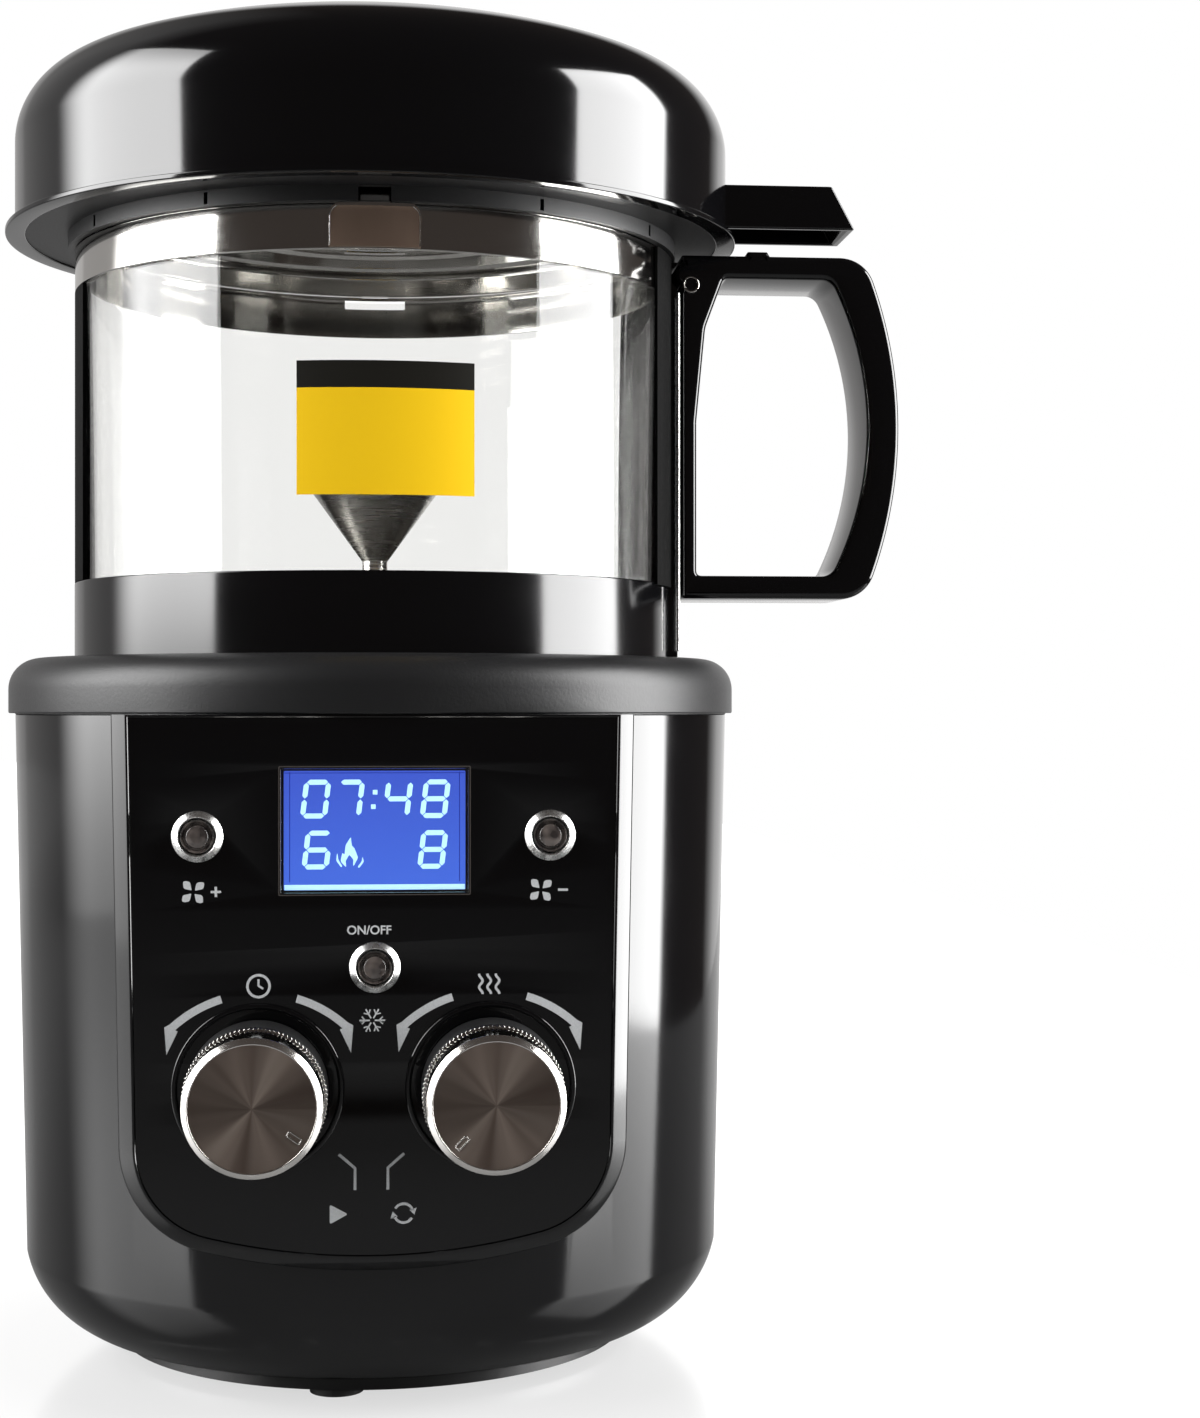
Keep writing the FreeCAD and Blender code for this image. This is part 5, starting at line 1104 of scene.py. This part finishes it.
class ROASTER_OT_jar(bpy.types.Operator):
    """Turn the jar's glass, its black band and its bright ring, and add the two catch plates"""
    bl_idname = "roaster.jar"
    bl_label = "Jar"

    def execute(self, context):
        s = sizes()
        out, inner = s["glass_outer"], s["glass_outer"] - s["glass_wall"]
        glass = outline((inner, 151.0, 0.7), (out, 151.0, 0.7), (out, 238.4, 0.7),
                        (inner, 238.4, 0.7))
        put("jar_glass", lathe(glass, s["steps"]), jar_glass(), "jar",
            ["glass_tube"])
        band = outline((65.1, 143.0), (65.9, 143.0, 0.3), (65.9, 166.6, 0.35), (65.1, 166.6, 0.2))
        put("jar_black_band", lathe(band, s["steps"]), band_abs(), "jar",
            ["jar_band"])
        steel = outline((65.1, 230.1, 0.15), (65.8, 230.1, 0.25), (65.8, 239.1, 0.35),
                        (63.2, 239.1, 0.2), (63.2, 238.4), (65.1, 238.4))
        rim = put("jar_bright_ring", lathe(steel, s["steps"]), polished_steel(), "jar",
                  ["top_ring"])
        slot = rect(-7.6, 236.6, 7.6, 238.2, 0.4)
        carve(rim, prism(slot, 55.0, 75.0))
        # the plates' upper corners are quarter circles of 2.4 mm
        corner = lambda u: 236.7 + np.sqrt(
            np.maximum(2.4 ** 2 - np.maximum(np.abs(u) - 6.7, 0) ** 2, 0))
        pair = [around_jar(65.8, 66.3, 230.5, corner, 18.2, middle, 60) for middle in (0, 180)]
        plates = put("catch_plates_satin", gather(*pair), catch_metal(), "jar",
                     ["catch_plates"])
        carve(plates, prism(slot, 55.0, 75.0))
        turn = np.radians(np.linspace(180, 90, 9))
        corner_path = np.column_stack([-6.75 + 2.15 * np.cos(turn), 236.55 + 2.15 * np.sin(turn)])
        edge = np.vstack([[(-8.9, 230.7), (-8.9, 233.5)], corner_path[:7]])
        beads = [bead_on_jar(edge * (side, 1), 66.25, 0.2, middle)
                 for side in (-1, 1) for middle in (0, 180)]
        put("catch_plate_edges", gather(*beads), polished_steel(), "jar")
        lip = around_jar(66.2, 66.9, 238.45, 239.05, 15.7, 0, 30)
        put("catch_lip", lip, polished_steel(), "jar")
        strap = around_jar(65.04, 65.85, 166.7, 230.0, 20.0, -79, 30)
        put("jar_side_strap", strap, matt_silicone(), "jar")
        return {"FINISHED"}


class ROASTER_OT_label(bpy.types.Operator):
    """Lay the plain two-colour label on the glass"""
    bl_idname = "roaster.label"
    bl_label = "Plain label"

    def execute(self, context):
        s = sizes()
        glass, high = s["glass_outer"], s["label_top"]
        patch = around_jar(glass + 0.02, glass + 0.12, high - s["label_height"], high,
                           s["label_width"], 2.0, 48)
        put("plain_label", patch, label_vinyl(), "jar")
        return {"FINISHED"}


def nose(centre, radius, z, rho, side):
    """Where a circle of radius rho touches the level line z and, from inside, a big circle:
    its centre is rho below or above z and radius - rho from the big circle's centre."""
    dz = z - side * rho - centre[1]
    x = centre[0] + math.sqrt((radius - rho) ** 2 - dz ** 2)
    away = np.array([x - centre[0], dz])
    return (x, z), tuple(np.array(centre) + away / np.linalg.norm(away) * radius)


# Where the cross pin of the handle runs, as (x, z).
PIN = (69.9, 233.4)


class ROASTER_OT_handle(bpy.types.Operator):
    """Cut the loop handle from a thick plate with rounded edges"""
    bl_idname = "roaster.handle"
    bl_label = "Handle"

    def execute(self, context):
        s = sizes()
        outer, inner = (19.5, 201.9), (38.0, 201.9)
        hi_flat, hi_bow = nose(outer, 97.5, 240.1, 8.0, 1)
        lo_flat, lo_bow = nose(outer, 97.5, 163.7, 8.0, -1)
        body = outline(
            (67.9, 163.7, 1.0), arc(lo_flat, lo_bow, 8.0, 1, 12),
            arc(lo_bow, hi_bow, 97.5, 1, 40)[1:-1], arc(hi_bow, hi_flat, 8.0, 1, 12), (87.8, 240.1),
            (87.2, 241.1, 0.3), (82.9, 241.1, 0.3), (82.3, 240.1), (67.9, 240.1, 0.6),
            arc((67.9, 238.2), (67.9, 233.4), 2.6, 1, 10))
        win_hi, win_hb = nose(inner, 71.7, 235.0, 3.5, 1)
        win_lo, win_lb = nose(inner, 71.7, 168.8, 3.5, -1)
        hole = outline(
            (71.3, 168.8, 1.2), arc(win_lo, win_lb, 3.5, 1, 8),
            arc(win_lb, win_hb, 71.7, 1, 40)[1:-1], arc(win_hb, win_hi, 3.5, 1, 8),
            (77.4, 235.0, 1.5), (73.3, 224.0, 8.0), (71.3, 203.0, 8.0))
        half = s["grip_half"]
        loop = plate("loop_handle", [body[::-1], hole], -half, half, s["handle_round"],
                     resolution=4)
        finish_piece(loop, polished_abs(), "jar", ["handle"])
        pin = outline((0, -12.0), (1.3, -12.0), (1.45, -12.6, 0.1), (1.8, -12.6, 0.2),
                      (2.0, -12.2, 0.1), (2.0, 12.2, 0.1), (1.8, 12.6, 0.2), (1.45, 12.6, 0.1),
                      (1.3, 12.0), (0, 12.0))
        plug = lathe(outline((0, -12.25), (1.25, -12.25, 0.2), (1.25, 12.25, 0.2), (0, 12.25)), 48)
        put("handle_pin_plug", to_front(plug, *PIN, 0.0), black_enamel(), "jar")
        put("handle_pin_bright", to_front(lathe(pin, 64), *PIN, 0.0), polished_steel(), "jar",
            ["handle_pin"], angle=50)
        rod = outline((0, 152.0), (0.42, 152.0, 0.2), (0.42, 231.5, 0.2), (0, 231.5))
        points, faces = lathe(rod, 24)
        put("spine_bright_edge", (points + (67.05, -12.15, 0.0), faces), bright_chrome(), "jar")
        mount = around_jar(65.95, 66.6, 166.0, 238.9, 56.5, 90, 60)
        put("handle_mount_plate", mount, matt_silicone(), "jar")
        return {"FINISHED"}


class ROASTER_OT_deflector(bpy.types.Operator):
    """Turn the inverted cone that spreads the hot air"""
    bl_idname = "roaster.deflector"
    bl_label = "Deflector cone"

    def execute(self, context):
        cone = outline((2.0, 173.4), (2.8, 173.4, 0.3), (15.3, 189.8, 0.5), (15.3, 190.6, 0.4),
                       (0, 197.2), (0, 196.4), (14.1, 190.2), (2.2, 174.6), (2.0, 174.2))
        put("deflector", lathe(cone, 160), brushed_steel(), "jar",
            ["deflector_cone"])
        return {"FINISHED"}


class ROASTER_OT_chaff_cup(bpy.types.Operator):
    """Turn the chaff cup: hanging rim, pressed floor with two beads, and the chimney"""
    bl_idname = "roaster.chaff_cup"
    bl_label = "Chaff cup"

    def execute(self, context):
        cup = outline(
            (61.0, 239.3), (64.6, 239.3, 0.3), (64.6, 240.0, 0.3), (61.7, 240.0), (61.7, 254.9),
            (61.0, 254.9), (61.0, 244.6, 1.2), (56.5, 244.6, 0.8), (55.0, 245.4, 0.8),
            (52.0, 245.4, 0.8), (50.5, 244.6, 0.8), (38.0, 244.6, 0.8), (36.8, 245.2, 0.6),
            (34.0, 245.2, 0.6), (32.8, 244.6, 0.8), (24.7, 244.6, 1.0), (24.7, 260.9, 0.2),
            (24.0, 260.9, 0.2), (24.0, 243.9, 1.6), (33.0, 243.9, 0.8), (34.2, 244.5, 0.6),
            (36.6, 244.5, 0.6), (37.8, 243.9, 0.8), (50.8, 243.9, 0.8), (52.3, 244.7, 0.8),
            (54.7, 244.7, 0.8), (56.2, 243.9, 0.8), (61.0, 243.9, 1.4))
        put("pressed_chaff_cup", lathe(cup, sizes()["steps"]), polished_steel(), "cup",
            ["chaff_cup"])
        return {"FINISHED"}


# ---------------------------------------------------------------- lid

class ROASTER_OT_lid(bpy.types.Operator):
    """Turn the domed lid with its thin lip, and add its lifting tab"""
    bl_idname = "roaster.lid"
    bl_label = "Lid"

    def execute(self, context):
        s = sizes()
        r, brim, wall = s["lid_radius"], s["brim_radius"], 2.2
        # radius of a cap that rises by rise over half its chord
        cap = lambda half, rise: (half * half + rise * rise) / (rise * 2)
        dome = outline(
            (r - wall, 242.2, 0.25), (brim, 242.2, 0.3), (brim, 243.3, 0.3), (r, 243.3, 0.5),
            arc((r, 261.9), (r - 11.0, 278.0), 17.3, 1, 24),
            arc((r - 11.0, 278.0), (r - 31.8, 283.8), 106.3, 1, 14)[1:],
            arc((r - 31.8, 283.8), (0, 287.85), cap(r - 31.8, 4.05), 1, 24)[1:],
            arc((0, 285.65), (r - 32.17, 281.63), cap(r - 32.17, 4.02), -1, 16),
            arc((r - 32.17, 281.63), (r - 11.81, 275.96), 104.1, -1, 8)[1:],
            arc((r - 11.81, 275.96), (r - wall, 261.9), 15.1, -1, 14)[1:])
        put("domed_lid", lathe(dome, s["steps"]), polished_abs(), "lid",
            ["lid_dome"])
        low, high, start, end, half = 246.6, 256.3, 77.4, 107.3, 10.0
        wall = 1.8
        outer = [(start, low), (end, low), (end - 5.2, high), (start, high)]
        inner = [(start + wall, low), (end - wall, low), (end - 6.1, high - wall),
                 (start + wall, high - wall)]
        p = np.array([(a, y, b) for loop, reach in ((outer, half), (inner, half - wall))
                      for y in (-reach, reach) for a, b in loop])
        i = np.arange(4)
        j = (i + 1) % 4
        sides = [np.stack([i + o, j + o, j + o + 4, i + o + 4], -1)[1:] for o in (0, 8)]
        ends = np.array([(0, 1, 2, 3), (7, 6, 5, 4), (8, 11, 10, 9), (12, 13, 14, 15)])
        rim = np.array([(0, 1, 9, 8), (1, 5, 13, 9), (5, 4, 12, 13), (4, 0, 8, 12)])
        tab = put("lifting_tab", (p, np.vstack([sides[0], sides[1][:, ::-1], ends, rim])),
                  polished_abs(), "lid", ["lid_tab"])
        bm = bmesh.new()
        bm.from_mesh(tab.data)
        bmesh.ops.recalc_face_normals(bm, faces=bm.faces)
        bm.to_mesh(tab.data)
        bm.free()
        edge = tab.modifiers.new("rounded_edges", "BEVEL")
        edge.width, edge.segments = 0.5 * MM, 3
        edge.limit_method, edge.harden_normals = "ANGLE", True
        return {"FINISHED"}


# ---------------------------------------------------------------- the frame's own nodes

class ROASTER_OT_frame_finishes(bpy.types.Operator):
    """Finish the frame's own nodes: base, seat, bed, underplate, screws and everything inside"""
    bl_idname = "roaster.frame_finishes"
    bl_label = "Frame finishes"

    def execute(self, context):
        for part in frame["record"]["subparts"]:
            node = NODES[part["node"]]
            material = FINISHES[part["material_slot"]]()
            if part["node"] == "handle_spine":
                material = black_enamel()
            for socket in node.material_slots:
                socket.material = material
        return {"FINISHED"}


# ---------------------------------------------------------------- stage

# The camera's place in metres, its turn to the right in degrees, and its lens.
CAMERA_PLACE = (0.0, -0.5523, 0.1391)
CAMERA_TURN = 5.25
CAMERA_LENS = 62.2
SENSOR = 36.0

# The floor in metres: it ends beside the right light, which reaches below it.
FLOOR_LOW, FLOOR_HIGH = (-6.0, -6.0), (0.42, 6.0)
SOFTBOX_DISTANCE = 0.9
WHITE = (1, 1, 1, 1)


class ROASTER_OT_stage(bpy.types.Operator):
    """Set the floor, two side lights, the surroundings and the camera"""
    bl_idname = "roaster.stage"
    bl_label = "Stage"

    def execute(self, context):
        scene = bpy.context.scene
        scene.view_settings.view_transform = "Standard"
        camera = bpy.data.cameras.new("camera")
        camera.sensor_fit, camera.lens, camera.clip_start = "AUTO", CAMERA_LENS, 0.01
        camera.sensor_height = camera.sensor_width = SENSOR
        scene.camera = link("camera", camera)
        scene.camera.location = CAMERA_PLACE
        scene.camera.rotation_euler = (math.pi / 2, 0.0, -math.radians(CAMERA_TURN))
        softbox("left", -1, (-0.525, 0.4), (0.0, 1.22), 14.0, far=0.34, sides=0.68,
                top=(0.6, 0.5), bottom=(0.27, 0.25))
        softbox("right", 1, (-0.445, 0.205), (-0.1, 0.93), 16.4, far=0.06, sides=0.92,
                top=(0.9, 0.9), bottom=(0.02, 0.7))
        (x0, y0), (x1, y1) = FLOOR_LOW, FLOOR_HIGH
        floor = bpy.data.meshes.new("floor")
        floor.from_pydata([(x0, y0, 0), (x1, y0, 0), (x1, y1, 0), (x0, y1, 0)], [], [(0, 1, 2, 3)])
        floor.materials.append(pale_floor())
        link("floor", floor)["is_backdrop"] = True
        surroundings()
        return {"FINISHED"}


def softbox(name, side, span, rise_span, radiance, far, sides, top, bottom):
    """A tall soft light beside the object, over span in Y and rise_span in Z, in metres.

    Its glow ends softly over the share `far` of its width at the back, sinks evenly to the share
    `sides` from front to back, and sinks to the second of `top` and `bottom` above and below the
    part of its height that the first gives.
    """
    lamp = bpy.data.lights.new(f"softbox_{name}", "AREA")
    width, height = span[1] - span[0], rise_span[1] - rise_span[0]
    lamp.shape, lamp.size, lamp.size_y = "RECTANGLE", width, height
    lamp.energy = radiance * width * height * math.pi
    lamp.use_nodes = True
    tree = lamp.node_tree
    place = add(tree, "ShaderNodeSeparateXYZ",
                Vector=add(tree, "ShaderNodeNewGeometry").outputs["Parametric"])
    back, front = (0.0, 1.0) if side < 0 else (1.0, 0.0)
    parts = (("X", "SMOOTHSTEP", back, back + (front - back) * far, 0.0, 1.0),
             ("X", "LINEAR", back, front, sides, 1.0),
             ("Y", "SMOOTHSTEP", 1.0, top[0], top[1], 1.0),
             ("Y", "SMOOTHSTEP", 0.0, bottom[0], bottom[1], 1.0))
    level = None
    for axis, kind, start, end, low, high in parts:
        part = add(tree, "ShaderNodeMapRange", {
            "interpolation_type": kind, "in:From Min": start, "in:From Max": end, "in:To Min": low,
            "in:To Max": high}, Value=place.outputs[axis]).outputs[0]
        level = part if level is None else add(
            tree, "ShaderNodeMath", {"operation": "MULTIPLY"}, i0=level, i1=part).outputs[0]
    tree.links.new(level, tree.nodes["Emission"].inputs["Strength"])
    obj = link(f"softbox_{name}", lamp)
    obj.location = (side * SOFTBOX_DISTANCE, sum(span) / 2, sum(rise_span) / 2)
    obj.rotation_euler = (math.pi / 2, 0, math.radians(90 * side))
    obj.visible_camera = False


def seen_straight(tree, path):
    """1 for what the camera sees directly or through glass without a reflection on the way."""
    direct = add(tree, "ShaderNodeMath", {"operation": "LESS_THAN", "in:1": 0.5},
                 i0=path.outputs["Glossy Depth"])
    through = add(tree, "ShaderNodeMath", {"operation": "MULTIPLY"},
                  i0=path.outputs["Is Transmission Ray"], i1=direct.outputs[0])
    return add(tree, "ShaderNodeMath", {"operation": "MAXIMUM"}, i0=path.outputs["Is Camera Ray"],
               i1=through.outputs[0]).outputs[0]


def pale_floor():
    """Satin board: white to the camera and through glass, with the object's shadow kept.

    Near the object it shows less of the white, so that the shadow stays; mirrored, it is a
    little bright behind the object.
    """
    m, tree, shader = fresh("satin_pale_board", Base_Color=linear("#6F6F6F"), Roughness=0.14,
                            Emission_Color=WHITE)
    if tree:
        path = add(tree, "ShaderNodeLightPath")
        where = add(tree, "ShaderNodeTexCoord").outputs["Object"]
        split = add(tree, "ShaderNodeSeparateXYZ", Vector=where)
        behind = add(tree, "ShaderNodeMapRange", {
            "in:From Min": 0.1, "in:From Max": 1.2, "in:To Max": 0.2}, Value=split.outputs["Y"])
        away = add(tree, "ShaderNodeVectorMath", {"operation": "LENGTH"}, i0=where)
        pale = add(tree, "ShaderNodeMapRange", {
            "in:From Min": 0.08, "in:From Max": 0.26, "in:To Min": 0.66},
            Value=away.outputs["Value"])
        shown, mirrored = (
            add(tree, "ShaderNodeMath", {"operation": "MULTIPLY"}, i0=a, i1=b.outputs[0]).outputs[0]
            for a, b in ((seen_straight(tree, path), pale),
                         (path.outputs["Is Glossy Ray"], behind)))
        glow = add(tree, "ShaderNodeMath", {"operation": "MAXIMUM"}, i0=shown, i1=mirrored)
        tree.links.new(glow.outputs[0], shader.inputs["Emission Strength"])
    return m


def surroundings():
    """White to the camera and through glass. Mirrored, it is white behind the object too, greyer
    towards the left, and the room in front of it is dim."""
    world = bpy.context.scene.world or bpy.data.worlds.new("studio")
    bpy.context.scene.world = world
    world.use_nodes = True
    tree = world.node_tree
    tree.nodes.clear()
    path = add(tree, "ShaderNodeLightPath")
    where = add(tree, "ShaderNodeTexCoord").outputs["Generated"]
    split = add(tree, "ShaderNodeSeparateXYZ", Vector=where)
    # each pair multiplies: the backdrop and how it fades to the left, the left flank and its reach
    behind, fade, beside, reach = (
        add(tree, "ShaderNodeMapRange", {
            "in:From Min": start, "in:From Max": end, "in:To Min": low, "in:To Max": high},
            Value=split.outputs[axis]).outputs[0]
        for axis, start, end, low, high in (
            ("Y", 0.72, 0.84, 0.0, 0.95), ("X", -0.2, 0.2, 0.5, 1.0),
            ("Y", 0.1, 0.4, 0.0, 0.34), ("X", -0.1, -0.5, 0.0, 1.0)))
    backdrop, flank = (
        add(tree, "ShaderNodeMath", {"operation": "MULTIPLY"}, i0=a, i1=b).outputs[0]
        for a, b in ((behind, fade), (beside, reach)))
    rear = add(tree, "ShaderNodeMath", {"operation": "MAXIMUM"}, i0=backdrop, i1=flank)
    room = add(tree, "ShaderNodeMix", {"data_type": "RGBA", "blend_type": "ADD", "in:Factor": 1.0,
                                       "in:6": (0.05, 0.042, 0.038, 1)}, i7=rear.outputs[0])
    mirrored = add(tree, "ShaderNodeMix", {"data_type": "RGBA", "in:6": (0.4, 0.4, 0.4, 1)},
                   i0=path.outputs["Is Glossy Ray"], i7=room.outputs[2])
    colour = add(tree, "ShaderNodeMix", {"data_type": "RGBA", "in:7": WHITE},
                 i0=seen_straight(tree, path), i6=mirrored.outputs[2])
    ground = add(tree, "ShaderNodeBackground", Color=colour.outputs[2])
    add(tree, "ShaderNodeOutputWorld", Surface=ground.outputs[0])


class ROASTER_PT_panel(bpy.types.Panel):
    """Lists the pieces and the stage"""
    bl_idname = "ROASTER_PT_panel"
    bl_label = "Coffee bean roaster"
    bl_space_type = "VIEW_3D"
    bl_region_type = "UI"
    bl_category = "Roaster"

    def draw(self, context):
        for maker in MAKERS:
            self.layout.operator(maker.bl_idname)
        for group in (context.scene.roaster_sizes, context.scene.roaster_colours):
            column = self.layout.column(align=True)
            for name in type(group).__annotations__:
                column.prop(group, name)


MAKERS = (
    ROASTER_OT_frame_finishes, ROASTER_OT_casing, ROASTER_OT_panel, ROASTER_OT_fascia,
    ROASTER_OT_marks, ROASTER_OT_display, ROASTER_OT_buttons, ROASTER_OT_knobs,
    ROASTER_OT_soft_ring, ROASTER_OT_jar, ROASTER_OT_label, ROASTER_OT_handle, ROASTER_OT_deflector,
    ROASTER_OT_chaff_cup, ROASTER_OT_lid, ROASTER_OT_stage)
CLASSES = (RoasterSizes, RoasterColours, *MAKERS, ROASTER_PT_panel)


def register():
    for cls in CLASSES:
        bpy.utils.register_class(cls)
    bpy.types.Scene.roaster_sizes = PointerProperty(type=RoasterSizes)
    bpy.types.Scene.roaster_colours = PointerProperty(type=RoasterColours)


def unregister():
    del bpy.types.Scene.roaster_colours
    del bpy.types.Scene.roaster_sizes
    for cls in reversed(CLASSES):
        bpy.utils.unregister_class(cls)


def main():
    register()
    for maker in MAKERS:
        group, name = maker.bl_idname.split(".")
        getattr(getattr(bpy.ops, group), name)()
    boxes = {"cad": CAD_BOX, "visual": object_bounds()}
    {k: [list(map(float, corner)) for corner in v] for k, v in boxes.items()}


if __name__ == "__main__":
    main()
